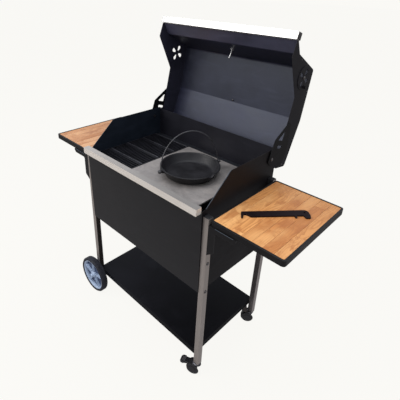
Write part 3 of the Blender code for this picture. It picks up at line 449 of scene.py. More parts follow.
# A light grey for thin rods that paint the highlights on folded edges.
HIGHLIGHT_GREY = moulded("painted_highlight_grey", (0.045, 0.058, 0.075), (0.36, 0.48))
PEDAL_GREY = moulded("pedal_grey", (0.10, 0.095, 0.10), (0.40, 0.55))
BAIL_STEEL = cast_iron("bail_steel", (0.030, 0.029, 0.032), (0.35, 0.50), depth=0.00005)
DIAL_WHITE = moulded("dial_white", (0.80, 0.80, 0.77), (0.25, 0.40))
# Lighter than the grate: a painted highlight along the ribs.
GRATE_RIB_HIGHLIGHT = cast_iron("grate_rib_painted_highlight", (0.030, 0.030, 0.036), (0.35, 0.50), 300.0, 0.00008)


# ---------------------------------------------------------------- mesh tools for the detailed pieces

def piece(name, bm, finish_mat, body, edge=0.0, hides=(), angle=35.0):
    """Turns a finished bmesh into one piece that rides on a body."""
    bmesh.ops.recalc_face_normals(bm, faces=bm.faces)
    mesh = bpy.data.meshes.new(name)
    bm.to_mesh(mesh)
    bm.free()
    mesh.materials.append(finish_mat)
    mesh.shade_smooth()
    mesh.set_sharp_from_angle(angle=math.radians(angle))
    obj = bpy.data.objects.new(name, mesh)
    bpy.context.scene.collection.objects.link(obj)
    if edge:
        bevel = obj.modifiers.new("edge", "BEVEL")
        bevel.width = edge
        bevel.segments = 2
        bevel.limit_method = "ANGLE"
        bevel.angle_limit = math.radians(40)
    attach(obj, body)
    if hides:
        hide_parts(*hides)


def frame_on(origin, along, up=(0, 0, 1)):
    """A matrix whose Z axis points along a direction."""
    z = Vector(along).normalized()
    x = Vector(up).cross(z)
    x = x.normalized() if x.length > 0.001 else Vector((1, 0, 0))
    return Matrix.Translation(origin) @ Matrix((x, z.cross(x), z)).transposed().to_4x4()


def add_box(bm, low, high, place=None):
    made = bmesh.ops.create_cube(bm, size=1.0)["verts"]
    size = Vector(high) - Vector(low)
    centre = (Vector(high) + Vector(low)) / 2
    matrix = (place or Matrix()) @ Matrix.Translation(centre) @ Matrix.Diagonal((*size, 1.0))
    bmesh.ops.transform(bm, matrix=matrix, verts=made)


def stitch(bm, first, second, steps):
    """Faces between two rings. Either ring may be a single point that closes an end."""
    for i in range(steps):
        j = (i + 1) % steps
        if len(first) == 1:
            bm.faces.new((first[0], second[i], second[j]))
        elif len(second) == 1:
            bm.faces.new((first[i], second[0], first[j]))
        else:
            bm.faces.new((first[i], second[i], second[j], first[j]))


def add_lathe(bm, profile, place, steps, change=None):
    """Spins an (r, z) profile about the frame's Z axis. Points with r = 0 close the ends.

    A change gives what is added to r and z at one point of the profile and one step round."""
    rings = []
    for k, (r, z) in enumerate(profile):
        ring = []
        for i in range(steps if r else 1):
            angle = math.tau * i / steps
            more_r, more_z = change(k, i) if change else (0.0, 0.0)
            radius = r + more_r
            point = Vector((radius * math.cos(angle), radius * math.sin(angle), z + more_z))
            ring.append(bm.verts.new(place @ point))
        rings.append(ring)
    for first, second in zip(rings, rings[1:]):
        stitch(bm, first, second, steps)
    if profile[0][0] and profile[-1][0]:
        stitch(bm, rings[-1], rings[0], steps)


def mirrored(half):
    """A profile or outline followed by its mirror image, back to the start."""
    return half + [(x, -y) for x, y in reversed(half) if y]


def add_band(bm, first, second):
    """Faces between two rings with the same number of points."""
    for i in range(len(first)):
        j = (i + 1) % len(first)
        bm.faces.new((first[i], first[j], second[j], second[i]))


def add_prism(bm, outline, low, high, place):
    """A flat outline given a thickness along the frame's Z axis."""
    bottom = [bm.verts.new(place @ Vector((x, y, low))) for x, y in outline]
    top = [bm.verts.new(place @ Vector((x, y, high))) for x, y in outline]
    bm.faces.new(bottom[::-1])
    bm.faces.new(top)
    add_band(bm, bottom, top)


def add_tube(bm, points, radius, sides):
    """A round bar along a path, closed at both ends."""
    points = [Vector(p) for p in points]
    rings = []
    side = None
    for i, point in enumerate(points):
        before, after = points[max(i - 1, 0)], points[min(i + 1, len(points) - 1)]
        ahead = (after - before).normalized()
        if side is None:
            side = ahead.orthogonal().normalized()
        side = (side - ahead * side.dot(ahead)).normalized()
        other = ahead.cross(side)
        ring = []
        for k in range(sides):
            angle = math.tau * k / sides
            away = side * math.cos(angle) + other * math.sin(angle)
            ring.append(bm.verts.new(point + away * radius))
        rings.append(ring)
    for first, second in zip(rings, rings[1:]):
        add_band(bm, first, second)
    bm.faces.new(rings[0][::-1])
    bm.faces.new(rings[-1])


def rounded(points, radius, steps=4):
    """Rounds every corner of a closed flat outline."""
    result = []
    count = len(points)
    for i, point in enumerate(points):
        here = Vector(point)
        back = (Vector(points[i - 1]) - here).normalized()
        ahead = (Vector(points[(i + 1) % count]) - here).normalized()
        r = radius[i] if isinstance(radius, (list, tuple)) else radius
        if r == 0:
            result.append(here)
            continue
        half = back.angle(ahead) / 2
        centre = here + (back + ahead).normalized() * (r / math.sin(half))
        start = here + back * (r / math.tan(half)) - centre
        sweep = start.angle_signed(here + ahead * (r / math.tan(half)) - centre)
        for k in range(steps + 1):
            result.append(centre + Matrix.Rotation(-sweep * k / steps, 2) @ start)
    return result


def square(half, radius):
    return rounded([(-half, -half), (half, -half), (half, half), (-half, half)], radius)


def hexagon(radius):
    turns = [math.tau * k / 6 for k in range(6)]
    return [(radius * math.cos(turn), radius * math.sin(turn)) for turn in turns]


# (r, z) profiles of a bolt's domed head and of a washer
DOME = [(0, 0.0034), (0.0024, 0.0031), (0.0044, 0.0021), (0.0054, 0.0006), (0.0054, 0.0), (0, 0.0)]
WASHER = [(0.0045, 0.0), (0.0080, 0.0), (0.0080, 0.0011), (0.0072, 0.0014), (0.0045, 0.0014)]


def add_bolt(bm, origin, along, scale):
    """A domed bolt head that faces along a direction."""
    add_lathe(bm, [(r * scale, z * scale) for r, z in DOME], frame_on(origin, along), 20)


# ---------------------------------------------------------------- the pieces

HINGE = joint_pos("hood_hinge")
SHIFT = HINGE.y - 0.188        # the middle of the legs, measured from the origin
OPEN = Matrix.Rotation(-math.radians(107.0), 4, "X")
UPRIGHT = Matrix.Rotation(math.pi / 2, 4, "X")
SIDES = (("left", -1), ("right", 1))


def at(x, y, z):
    """A place measured from the floor under the middle of the legs."""
    return Vector((x, y + SHIFT, z))


def on_hood(x, y, z):
    """A place on the shut hood, taken to where it is with the hood open."""
    return HINGE + OPEN @ (at(x, y, z) - HINGE)


def build_leg_fittings():
    """Plastic caps on the leg tops, a black tab down the front of each back leg that paints the shade in
    the gap there, and the bolts into the panels.
    """
    caps, bolts = bmesh.new(), bmesh.new()
    leg_x, leg_y, leg_top = 0.3715, 0.2065, 0.8441
    for sx in (-1, 1):
        for sy in (-1, 1):
            x, y = sx * leg_x, sy * leg_y
            foot = Matrix.Translation(at(x, y, leg_top))
            add_prism(caps, square(0.0122, 0.002), 0.0, 0.0016, foot)
            add_prism(caps, square(0.010, 0.002), 0.0016, 0.0026, foot)
            # A black tab on the front of each back leg paints the shade in the narrow gap there.
            if sy > 0:
                add_box(caps, at(x - 0.0121, y - 0.0133, 0.790), at(x + 0.0121, y - 0.01265, 0.8455))
            for z in (0.640, 0.498):
                add_bolt(bolts, at(sx * 0.3841, y, z), (sx, 0, 0), 1.3)
    piece("leg_caps_and_shade_tabs", caps, BLACK_MOULDING, "trolley", 0.0004)
    piece("frame_bolts", bolts, DARK_PLATED, "trolley")


def build_end_caps(name, node, body, material, tilt):
    """A stepped cap in each end of a box section."""
    low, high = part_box(node)
    centre = middle(node)
    half, step = 0.0132, 0.003
    bm = bmesh.new()
    for side in (-1, 1):
        end = Matrix.Translation((high.x if side > 0 else low.x, centre.y, centre.z))
        place = end @ tilt @ frame_on((0, 0, 0), (side, 0, 0))
        add_prism(bm, square(half, step), 0.0, 0.0012, place)
        add_prism(bm, square(half - step, 0.002), 0.0012, 0.0020, place)
    piece(name, bm, material, body, 0.0003)


def build_hinge_bolts():
    for side, sign in SIDES:
        low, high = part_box(f"hinge_bolt_{side}")
        centre = middle(f"hinge_bolt_{side}")
        outer, inner = (high.x, low.x) if sign > 0 else (low.x, high.x)

        def along(x):
            return (x, centre.y, centre.z)

        bm = bmesh.new()
        add_tube(bm, [along(inner), along(outer - sign * 0.003)], 0.0039, 20)
        place = frame_on(along(outer - sign * 0.0042), (sign, 0, 0))
        add_lathe(bm, [(r * 0.93, z * 0.8) for r, z in WASHER], place, 28)
        head = [(0, 0.0042), (0.0030, 0.0040), (0.0052, 0.0032), (0.0062, 0.0018), (0.0062, 0.0010),
                (0, 0.0010)]
        add_lathe(bm, head, place, 24)
        add_prism(bm, hexagon(0.0070), 0.0, 0.0020, frame_on(along(inner + sign * 0.0004), (sign, 0, 0)))
        piece(f"hinge_bolt_{side}_turned", bm, DARK_PLATED, "trolley", hides=(f"hinge_bolt_{side}",))


def build_thermometer():
    """Dial thermometer: bezel, pointer and hub outside the hood, with its nut and stem inside."""
    rise_y, rise_z = 0.0314, 0.157        # how far the hood's front leans, from its foot to its top
    foot_y, foot_z, dial_z = -0.232, 0.910, 0.979
    slope = Vector((0, rise_y, rise_z)).normalized()
    outward = Vector((0, -slope.z, slope.y))
    base = on_hood(0.0, foot_y + rise_y * (dial_z - foot_z) / rise_z, dial_z)
    axis = OPEN.to_3x3() @ outward
    place = frame_on(base + axis * 0.0004, axis, OPEN.to_3x3() @ slope)
    bezel = bmesh.new()
    ring = [(0.0262, 0.0060), (0.0268, 0.0088), (0.0280, 0.0098), (0.0293, 0.0094), (0.0298, 0.0080),
            (0.0298, 0.0012), (0.0290, 0.0), (0.0262, 0.0)]
    add_lathe(bezel, ring, place, 56)
    stem = [(0, 0.0004), (0.0030, 0.0004), (0.0030, -0.0440), (0.0020, -0.0450), (0, -0.0450)]
    add_lathe(bezel, stem, place, 16)
    add_prism(bezel, hexagon(0.0085), -0.0062, -0.0022, place)
    piece("thermometer_case", bezel, PLATED, "hood", hides=("thermometer",))
    face = bmesh.new()
    add_lathe(face, [(0, 0.0058), (0.0263, 0.0058), (0.0263, 0.0040), (0, 0.0040)], place, 48)
    piece("thermometer_dial", face, DIAL_WHITE, "hood")
    marks = bmesh.new()
    gaps = 24
    for k in range(gaps + 1):
        angle = math.radians(-225 + 270 * k / gaps)
        long = 0.0038 if k % 4 == 0 else 0.0020
        mark = place @ Matrix.Rotation(angle, 4, "Z")
        add_box(marks, (0.0242 - long, -0.00022, 0.0058), (0.0242, 0.00022, 0.0061), mark)
    needle = place @ Matrix.Rotation(math.radians(-205), 4, "Z")
    add_box(marks, (-0.0050, -0.0005, 0.0066), (0.0185, 0.0005, 0.0070), needle)
    add_lathe(marks, [(0, 0.0078), (0.0022, 0.0074), (0.0026, 0.0058), (0, 0.0058)], place, 20)
    piece("thermometer_marks", marks, BLACK_MOULDING, "hood")


def build_hood_rivets():
    """Rivets that join the shell to its end plates, and the two bolts on its roof."""
    bm = bmesh.new()
    for sign in (-1, 1):
        for y, z in ((-0.2165, 0.940), (-0.110, 1.066), (0.100, 1.074), (0.212, 1.045)):
            add_bolt(bm, on_hood(sign * 0.3622, y, z), (sign, 0, 0), 0.5)
    for x, y, z in ((0.0, 0.006, 1.088), (-0.338, -0.206, 1.040)):
        add_bolt(bm, on_hood(x, y, z), OPEN.to_3x3() @ Vector((0, 0.2, -1)), 0.8)
    piece("hood_rivets", bm, DARK_PLATED, "hood")


def build_dampers():
    """The rivet that each vent damper turns on."""
    head = [(0, 0.0042), (0.0030, 0.0040), (0.0055, 0.0028), (0.0070, 0.0010), (0.0070, 0.0), (0, 0.0)]
    for side, sign in SIDES:
        centre = joint_pos(f"damper_{side}_turn")
        bm = bmesh.new()
        add_lathe(bm, head, frame_on((sign * 0.3638, centre.y, centre.z), (sign, 0, 0)), 24)
        piece(f"damper_{side}_rivet", bm, DARK_PLATED, "damper_" + side)


def notches(k, i):
    """Shallow notches round both shoulders of a tyre, which are points 3 and 10 of its profile."""
    return (-0.0013, 0.0) if k in (3, 10) and i % 4 < 2 else (0.0, 0.0)


def build_hub(end, place, w):
    """A rim, a thin dark web that paints the shade in the windows between the spokes, a boss and five
    ribbed spokes. w is half the wheel's width.
    """
    hub, web = bmesh.new(), bmesh.new()
    rim = mirrored([(0.0760, w - 0.0110), (0.0785, w - 0.0060), (0.0820, w - 0.0036), (0.0864, w - 0.0030)])
    add_lathe(hub, rim, place, 80)
    dish = [(0.0150, 0.0020), (0.0775, -0.0010), (0.0775, -0.0040), (0.0150, -0.0030)]
    add_lathe(web, dish, place, 64)
    piece(f"hub_{end}_web", web, HUB_WEB_SHADE, f"wheel_{end}")
    boss = mirrored([(0.0054, w), (0.0120, w), (0.0150, w - 0.0020), (0.0200, w - 0.0100), (0.0215, 0.0)])
    add_lathe(hub, boss, place, 40)
    spoke = mirrored([(0.0160, -0.0085), (0.0450, -0.0060), (0.0785, -0.0095)])
    for k in range(5):
        arm = place @ Matrix.Rotation(math.tau * k / 5 + math.pi / 2, 4, "Z")
        add_prism(hub, spoke, -0.0085, 0.0085, arm)
        for side in (-0.0058, 0.0058):
            add_box(hub, (0.020, side - 0.0009, 0.0085), (0.0770, side + 0.0009, 0.0112), arm)
    piece(f"hub_{end}_spoked", hub, HUB, f"wheel_{end}", 0.0008, hides=(f"hub_{end}",))


def build_wheel(end, sign):
    centre = joint_pos(f"wheel_{end}_spin")
    outward = Vector((0, sign, 0))
    place = frame_on(centre, outward)
    r, w = 0.1015, 0.0178        # the wheel's radius and half its width
    tyre = bmesh.new()
    section = mirrored([(0.0865, w - 0.0045), (0.0885, w - 0.0012), (0.0965, w), (r - 0.0012, w - 0.0036),
                        (r, w - 0.0066), (r, 0.0048), (r - 0.0016, 0.0040)])
    add_lathe(tyre, section, place, 96, notches)
    piece(f"tyre_{end}_tread", tyre, TYRE, f"wheel_{end}", hides=(f"tyre_{end}",))
    build_hub(end, place, w)
    low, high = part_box(f"axle_cap_{end}")
    start = high.y if sign < 0 else low.y
    cap = bmesh.new()
    dome = [(0, 0.0076), (0.0040, 0.0074), (0.0075, 0.0062), (0.0095, 0.0038), (0.0099, 0.0), (0, 0.0)]
    add_lathe(cap, dome, frame_on((centre.x, start, centre.z), outward), 32)
    piece(f"axle_cap_{end}_domed", cap, HUB, "trolley", hides=(f"axle_cap_{end}",))


CASTER_TOP = 0.0624


def build_caster_fork(end, swivel, spin, column, aside):
    """Swivel race, two cheeks, wheel pin with its heads, and stem."""
    fork = bmesh.new()
    top = CASTER_TOP
    race = [(0, top), (0.0150, top), (0.0162, top - 0.0008), (0.0162, top - 0.0020),
            (0.0172, top - 0.0026), (0.0172, top - 0.0036), (0.0160, top - 0.0040), (0, top - 0.0040)]
    add_lathe(fork, race, column @ Matrix.Translation((0.004, 0, 0)), 40)
    corners = [(-0.005, top - 0.001), (0.017, top - 0.001), (0.0325, 0.0300), (0.0300, 0.0180),
               (0.0175, 0.0180)]
    cheek = rounded(corners, [0.001, 0.003, 0.005, 0.005, 0.005])
    for low, high in ((0.0145, 0.0165), (-0.0165, -0.0145)):
        add_prism(fork, cheek, low, high, column @ UPRIGHT)
    add_tube(fork, [spin + aside * s for s in (-0.0182, 0.0182)], 0.0029, 16)
    pin_head = [(0, 0.0022), (0.0036, 0.0020), (0.0050, 0.0008), (0.0050, 0.0), (0, 0.0)]
    for side in (-1, 1):
        add_lathe(fork, pin_head, frame_on(spin + aside * side * 0.0164, aside * side), 20)
    add_tube(fork, [(swivel.x, swivel.y, top - 0.002), (swivel.x, swivel.y, 0.0860)], 0.0039, 16)
    piece(f"caster_fork_{end}_pressed", fork, CASTER_ZINC, f"caster_{end}", 0.0004,
          hides=(f"caster_fork_{end}",))


def build_caster_wheel(end, spin, aside):
    r, w = 0.0249, 0.0128        # the wheel's radius and half its width
    section = mirrored([(0.0034, w - 0.0010), (0.0075, w - 0.0010), (0.0085, w - 0.0035),
                        (0.0160, w - 0.0035), (0.0175, w - 0.0005), (0.0215, w), (0.0238, w - 0.0018),
                        (r, w - 0.0050), (r, 0.0008), (r - 0.0008, 0.0)])
    wheel = bmesh.new()
    add_lathe(wheel, section, frame_on(spin, aside), 48)
    piece(f"caster_wheel_{end}_tyre", wheel, CASTER_BLACK, f"caster_wheel_{end}",
          hides=(f"caster_wheel_{end}",))


def build_caster_guards(end, spin, turn):
    """A stepped disc on each side of the wheel, a little off its centre."""
    guards = bmesh.new()
    radius, step = 0.0285, 0.62
    rim = []
    for degrees in range(0, 360, 10):
        angle = math.radians(degrees)
        rim.append((radius * math.cos(angle) - 0.0085, radius * math.sin(angle) + 0.0060))
    crown = [(x * step, y * step) for x, y in rim]
    centre = Matrix.Translation(spin) @ turn @ UPRIGHT
    for side in (-1, 1):
        for outline, middle_z in ((rim, side * 0.0186), (crown, side * 0.0200)):
            add_prism(guards, outline, middle_z - 0.0008, middle_z + 0.0008, centre)
    piece(f"caster_guards_{end}", guards, CASTER_BLACK, f"caster_{end}", 0.0006)


def build_caster_lever(column):
    """The raised brake lever of the back caster."""
    lever = bmesh.new()
    outline = [(0.0205, 0.0600), (0.0260, 0.0600), (0.0370, 0.0670), (0.0410, 0.0800), (0.0410, 0.0940),
               (0.0350, 0.0975), (0.0240, 0.0900)]
    add_prism(lever, rounded(outline, 0.0022), -0.0175, 0.0175, column @ UPRIGHT)
    piece("caster_lever_back", lever, LEVER_BROWN, "caster_back", 0.0008)


def build_caster(end):
    swivel = joint_pos(f"caster_{end}_swivel")
    spin = joint_pos(f"caster_{end}_spin")
    upward = Vector((0, 0, 1))
    ahead = Vector((spin.x - swivel.x, spin.y - swivel.y, 0)).normalized()
    aside = upward.cross(ahead)
    turn = Matrix((ahead, aside, upward)).transposed().to_4x4()
    column = Matrix.Translation((swivel.x, swivel.y, 0)) @ turn
    build_caster_fork(end, swivel, spin, column, aside)
    build_caster_wheel(end, spin, aside)
    build_caster_guards(end, spin, turn)
    if end == "back":
        build_caster_lever(column)
    else:
        build_brake(column)


def build_brake(column):
    """Foot pedal: a hooded arm with a ribbed toe pad."""
    bm = bmesh.new()
    hinge = column @ Matrix.Translation((0.016, 0, 0.0535))
    corners = [(-0.003, 0.0), (0.000, -0.0028), (0.010, -0.0020), (0.018, -0.0033), (0.034, -0.0118),
               (0.050, -0.0168), (0.0615, -0.0120), (0.0638, -0.0045), (0.052, 0.0018), (0.030, 0.0018),
               (0.000, 0.0028)]
    rounds = [0.001, 0.001, 0.001, 0.001, 0.004, 0.005, 0.004, 0.004, 0.004, 0.001, 0.001]
    add_prism(bm, rounded(corners, rounds), -0.0128, 0.0128, hinge @ UPRIGHT)
    pad = [(0.040, 0.0012), (0.0515, 0.0012), (0.0598, -0.0042), (0.0598, -0.0100), (0.050, -0.0138),
           (0.040, -0.008)]
    add_prism(bm, rounded(pad, 0.003), -0.0168, 0.0168, hinge @ UPRIGHT)
    piece("brake_pedal_moulded", bm, CASTER_BLACK, "brake_pedal", 0.0010, hides=("brake_pedal",))
    ribs = bmesh.new()
    for k in range(4):
        x = 0.0400 + 0.0036 * k
        add_box(ribs, (x, -0.0115, 0.0016), (x + 0.0016, 0.0115, 0.0029), hinge)
    piece("brake_pedal_ribs", ribs, PEDAL_GREY, "brake_pedal", 0.0003)


def build_pan():
    """A shallow cast pan with a pouring lip and two ears."""
    foot = at(0.0955, -0.0095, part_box("pan")[0].z)
    place = Matrix.Translation(foot)
    steps, r = 96, 0.1298
    profile = [(0, 0.0062), (0.050, 0.0058), (0.092, 0.0060), (0.1010, 0.0076), (0.1060, 0.0120),
               (0.1205, 0.0375), (0.1222, 0.0412), (0.1240, 0.0430), (0.1275, 0.0430), (r, 0.0418),
               (r, 0.0385), (0.1280, 0.0368), (0.1252, 0.0355), (0.1092, 0.0080), (0.1050, 0.0022),
               (0.1000, 0.0), (0.094, 0.0), (0.092, 0.0012), (0, 0.0012)]
    lip_turn = math.radians(-6.0)

    def lip(k, i):
        """The top of the wall dips in one direction."""
        if not 5 <= k <= 12:
            return 0.0, 0.0
        away = (math.tau * i / steps - lip_turn + math.pi) % math.tau - math.pi
        dip = 0.0085 * math.exp(-(away / 0.085) ** 2)
        return 0.0, -dip * min(1.0, max(0.0, (profile[k][1] - 0.033) / 0.008))

    bm = bmesh.new()
    add_lathe(bm, profile, place, steps, lip)
    ear_turn = math.radians(70.0)
    lift = joint_pos("bail_swing").z - foot.z
    tab = [(0.1200, -0.0085), (0.1338, -0.0060), (0.1338, 0.0060), (0.1200, 0.0085)]
    for half_turn in (math.pi, 0):
        ear = place @ Matrix.Rotation(ear_turn + half_turn, 4, "Z")
        add_prism(bm, rounded(tab, [0, 0.003, 0.003, 0]), lift - 0.0060, lift + 0.0058, ear)
    piece("pan_cast", bm, PAN_IRON, "pan", hides=("pan",), angle=50)
    build_bail(foot, ear_turn)


def build_bail(foot, ear_turn):
    """The pan's wire handle, with a knob at each end."""
    bail = bmesh.new()
    lean = math.radians(7.0)
    ears = Matrix.Translation((foot.x, foot.y, joint_pos("bail_swing").z))
    centre = ears @ Matrix.Rotation(ear_turn, 4, "Z")
    points = [(0.1292, 0, 0), (0.1345, 0, 0)]
    steps, reach, height = 40, 0.1368, 0.155
    for k in range(steps + 1):
        angle = math.pi * k / steps
        up = height * math.sin(angle)
        points.append((reach * math.cos(angle), up * math.sin(lean), up * math.cos(lean)))
    points += [(-0.1345, 0, 0), (-0.1292, 0, 0)]
    add_tube(bail, [centre @ Vector(p) for p in points], 0.0024, 12)
    knob = [(0, 0.0), (0.0072, 0.0), (0.0084, 0.0026), (0.0080, 0.0082), (0.0055, 0.0116), (0, 0.0122)]
    for side in (-1, 1):
        add_lathe(bail, knob, centre @ frame_on((side * 0.1366, 0, 0), (side, 0, 0)), 20)
    piece("pan_bail_wire", bail, BAIL_STEEL, "pan_bail", hides=("pan_bail",), angle=60)


def build_grate_ribs():
    """Raised cross ribs over the grate's bars, in a lighter iron that paints the highlight along each rib.
    """
    bm = bmesh.new()
    section = [(-0.0030, 0.0), (0.0030, 0.0), (0.0026, 0.0010), (-0.0026, 0.0010)]
    lying = Matrix.Rotation(math.pi / 2, 4, "Y") @ Matrix.Rotation(math.pi / 2, 4, "Z")
    for y in (-0.104, -0.003, 0.101, 0.190):
        add_prism(bm, section, 0.0, 0.237, Matrix.Translation(at(-0.350, y, 0.8381)) @ lying)
    piece("grate_ribs", bm, GRATE_RIB_HIGHLIGHT, "grill_grate", 0.0003)


def build_rim(side):
    """The folded-over edge of a table's frame."""
    low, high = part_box(f"table_frame_{side}")
    width = 0.0078
    corners = [(low.x, low.y), (high.x, low.y), (high.x, high.y), (low.x, high.y)]
    inward = ((1, 1), (-1, 1), (-1, -1), (1, -1))
    inset = [(x + dx * width, y + dy * width) for (x, y), (dx, dy) in zip(corners, inward)]
    outer, inner = rounded(corners, 0.0118, 6), rounded(inset, 0.0050, 6)
    bottom, top = high.z + 0.0002, high.z + 0.0010
    bm = bmesh.new()
    levels = ((outer, bottom), (inner, bottom), (inner, top), (outer, top))
    rings = [[bm.verts.new((x, y, z)) for x, y in loop] for loop, z in levels]
    for first, second in zip(rings, rings[1:] + rings[:1]):
        add_band(bm, first, second)
    piece(f"table_rim_{side}", bm, TRIM_PAINT, "trolley", 0.0003)


def build_highlight_beads():
    """Thin grey rods along the folded edges under the tables and up the fronts of the wings: painted
    highlights where those edges catch the light.
    """
    bm = bmesh.new()
    z = 0.8200
    for sx in (-1, 1):
        for y in (-0.2193, 0.2193):
            path = [(0.414, z), (0.422, z + 0.0006), (0.492, z + 0.0006)]
            add_tube(bm, [at(sx * x, y, height) for x, height in path], 0.0009, 8)
    wing = [(-0.2045, 0.8694), (-0.1400, 0.9252), (-0.0800, 0.9772), (-0.0733, 0.9796)]
    for sx in (-1, 1):
        add_tube(bm, [at(sx * 0.3568, y, height) for y, height in wing], 0.0011, 8)
    piece("highlight_beads", bm, HIGHLIGHT_GREY, "trolley")


def build_side_hems():
    """A strip that takes each side panel's lower edge down to where the photograph has it."""
    bm = bmesh.new()
    facing = Matrix(((0, 0, 1), (1, 0, 0), (0, 1, 0))).to_4x4()
    outline = [(-0.188, 0.4887), (0.2298, 0.4790), (0.2298, 0.4702), (-0.188, 0.4798)]
    for sx in (-1, 1):
        place = Matrix.Translation(at(sx * 0.35795, 0, 0)) @ facing
        add_prism(bm, rounded(outline, [0.0, 0.0, 0.002, 0.002]), -0.0007, 0.0007, place)
    piece("side_hems", bm, SIDE_PAINT, "trolley")


def build_board(side, material):
    """A table top of strips glued side by side, with its two outer ends rounded."""
    low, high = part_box(f"table_board_{side}")
    width = (high.x - low.x) / STRIPS
    gap, corner = 0.00012, 0.006
    bm = bmesh.new()
    for k in range(STRIPS):
        left = low.x + width * k + gap
        right = low.x + width * (k + 1) - gap
        first = corner if k == 0 else 0
        last = corner if k == STRIPS - 1 else 0
        corners = [(left, low.y), (right, low.y), (right, high.y), (left, high.y)]
        add_prism(bm, rounded(corners, [first, last, last, first]), low.z, high.z, Matrix())
    build_rim(side)
    piece(f"table_strips_{side}", bm, material, "trolley", 0.0005, hides=(f"table_board_{side}",))


def build_pieces():
    build_leg_fittings()
    build_end_caps("rail_caps", "front_rail", "trolley", RAIL_STEEL, Matrix())
    build_end_caps("handle_caps", "hood_handle", "hood", BLACK_MOULDING, OPEN)
    build_hinge_bolts()
    build_thermometer()
    build_hood_rivets()
    build_dampers()
    for end, sign in (("front", -1), ("back", 1)):
        build_wheel(end, sign)
        build_caster(end)
    build_pan()
    build_grate_ribs()
    build_board("left", WOOD_LEFT)
    build_board("right", WOOD_RIGHT)
    build_highlight_beads()
    build_side_hems()


# ---------------------------------------------------------------- camera, light and floor

BACKDROP = (0.956, 0.947, 0.915, 1.0)
SKY = [(0.0, (0.46, 0.46, 0.50)), (0.40, (0.46, 0.44, 0.43)), (0.49, (0.46, 0.44, 0.43)),
       (0.53, (0.95, 0.96, 1.0)), (0.70, (0.90, 0.94, 1.02)), (1.0, (0.72, 0.76, 0.84))]


def set_camera():
    azimuth, elevation, roll = math.radians(44.1967), math.radians(26.3473), math.radians(1.7555)
    level = Vector((-math.sin(azimuth), math.cos(azimuth), 0)) * math.cos(elevation)
    forward = level - Vector((0, 0, math.sin(elevation)))
    right = Vector((math.cos(azimuth), math.sin(azimuth), 0))
    up = right.cross(forward)
    turned_right = right * math.cos(roll) + up * math.sin(roll)
    turned_up = up * math.cos(roll) - right * math.sin(roll)
    data = bpy.data.cameras.new("camera")
    data.lens = 32.482
    data.sensor_width = 36.0
    data.shift_x = 0.0524
    data.shift_y = -0.0926
    camera = bpy.data.objects.new("camera", data)
    bpy.context.scene.collection.objects.link(camera)
    facing = Matrix((turned_right, turned_up, -forward)).transposed().to_4x4()
    camera.matrix_world = Matrix.Translation(at(1.0262, -1.0359, 1.5726)) @ facing
    bpy.context.scene.camera = camera


def set_world():
    """The camera sees a plain cream backdrop. The object is lit by a bright sky over a darker ground."""
    world = bpy.data.worlds.new("studio")
    bpy.context.scene.world = world
    world.use_nodes = True
    tree = world.node_tree
    tree.nodes.clear()
    make = tree.nodes.new
    out = make("ShaderNodeOutputWorld")
    seen = make("ShaderNodeBackground")
    seen.inputs["Color"].default_value = BACKDROP
    lit = make("ShaderNodeBackground")
    coords = make("ShaderNodeTexCoord")
    split = make("ShaderNodeSeparateXYZ")
    tree.links.new(coords.outputs["Generated"], split.inputs[0])
    height = make("ShaderNodeMapRange")
    height.inputs["From Min"].default_value = -1.0
    height.inputs["From Max"].default_value = 1.0
    tree.links.new(split.outputs["Z"], height.inputs["Value"])
    ramp = make("ShaderNodeValToRGB")
    fill_ramp(ramp, SKY)
    tree.links.new(height.outputs["Result"], ramp.inputs["Fac"])
    tree.links.new(ramp.outputs["Color"], lit.inputs["Color"])
    lit.inputs["Strength"].default_value = 0.85
    path = make("ShaderNodeLightPath")
    switch = make("ShaderNodeMixShader")
    tree.links.new(path.outputs["Is Camera Ray"], switch.inputs[0])
    tree.links.new(lit.outputs[0], switch.inputs[1])
    tree.links.new(seen.outputs[0], switch.inputs[2])
    tree.links.new(switch.outputs[0], out.inputs[0])


def area_light(name, position, target, size, power, colour):
    data = bpy.data.lights.new(name, "AREA")
    data.shape = "RECTANGLE"
    data.size, data.size_y = size
    data.energy = power
    data.color = colour
    light = bpy.data.objects.new(name, data)
    bpy.context.scene.collection.objects.link(light)
    aim = (Vector(target) - Vector(position)).to_track_quat("-Z", "Y")
    light.matrix_world = Matrix.Translation(position) @ aim.to_matrix().to_4x4()


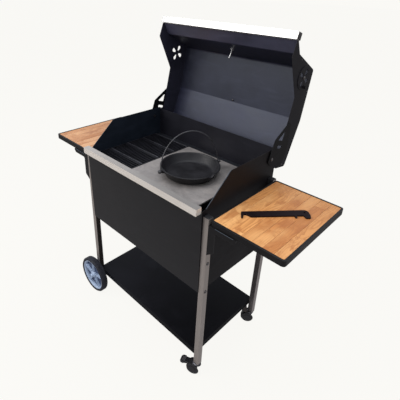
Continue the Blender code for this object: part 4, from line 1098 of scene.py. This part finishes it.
def set_floor():
    bm = bmesh.new()
    bmesh.ops.create_grid(bm, x_segments=2, y_segments=2, size=40.0)
    mesh = bpy.data.meshes.new("floor")
    bm.to_mesh(mesh)
    bm.free()
    floor = bpy.data.objects.new("floor", mesh)
    bpy.context.scene.collection.objects.link(floor)
    floor.location.z = -0.0005
    mat = bpy.data.materials.new("floor_pale")
    mat.use_nodes = True
    tree = mat.node_tree
    shader = tree.nodes["Principled BSDF"]
    shader.inputs["Base Color"].default_value = (0.035, 0.0346, 0.0332, 1.0)
    shader.inputs["Roughness"].default_value = 1.0
    shader.inputs["Specular IOR Level"].default_value = 0.0
    shader.inputs["Emission Color"].default_value = BACKDROP
    shader.inputs["Emission Strength"].default_value = 0.965
    mesh.materials.append(mat)
    floor.visible_diffuse = False
    floor.visible_glossy = False


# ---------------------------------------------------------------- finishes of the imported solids

def finish(material, *names):
    """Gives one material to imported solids."""
    for name in names:
        mesh = NODES[name].data
        mesh.materials.clear()
        mesh.materials.append(material)


finish(PANEL, "front_panel")
finish(SIDE_PAINT, "side_panel_right")
finish(LEFT_SIDE_PAINT, "side_panel_left")
finish(BACK_PAINT, "back_panel")
finish(INSIDE, "firebox_floor", "charcoal_tray", "plate_ledge_front", "plate_ledge_back")
finish(SHELF_PAINT, "bottom_shelf")
finish(HOOD_PAINT, "hood_shell")
finish(END_PAINT, "hood_end_right", "damper_right")
finish(LEFT_END_PAINT, "hood_end_left", "damper_left")
finish(HINGE_PAINT, "hinge_plate_left", "hinge_plate_right")
finish(TRIM_PAINT, "table_frame_left", "table_frame_right",
       "bracket_front_left", "bracket_front_right", "bracket_back_left", "bracket_back_right")
finish(RAIL_STEEL, "front_rail")
finish(HANDLE_STEEL, "hood_handle")
finish(LEG_STEEL, "leg_front_right", "leg_back_left")
finish(LEFT_LEG_STEEL, "leg_front_left")
finish(BACK_LEG_STEEL, "leg_back_right")
finish(PLATE_STEEL, "hotplate")
finish(GRATE_IRON, "grill_grate")
finish(LIFTER_IRON, "lifter")
finish(BLACK_MOULDING, "caster_plug_front", "caster_plug_back")
finish(DARK_PLATED, "axle")

build_pieces()
bpy.context.scene.view_settings.view_transform = "Standard"
set_camera()
set_world()
set_floor()
area_light("key", (-1.6, -2.6, 3.0), (0, 0, 0.8), (2.4, 2.0), 60.0, (1.0, 0.98, 0.96))
area_light("top", (0.3, -0.2, 3.6), (0, 0, 0.6), (3.0, 2.4), 45.0, (0.93, 0.96, 1.0))
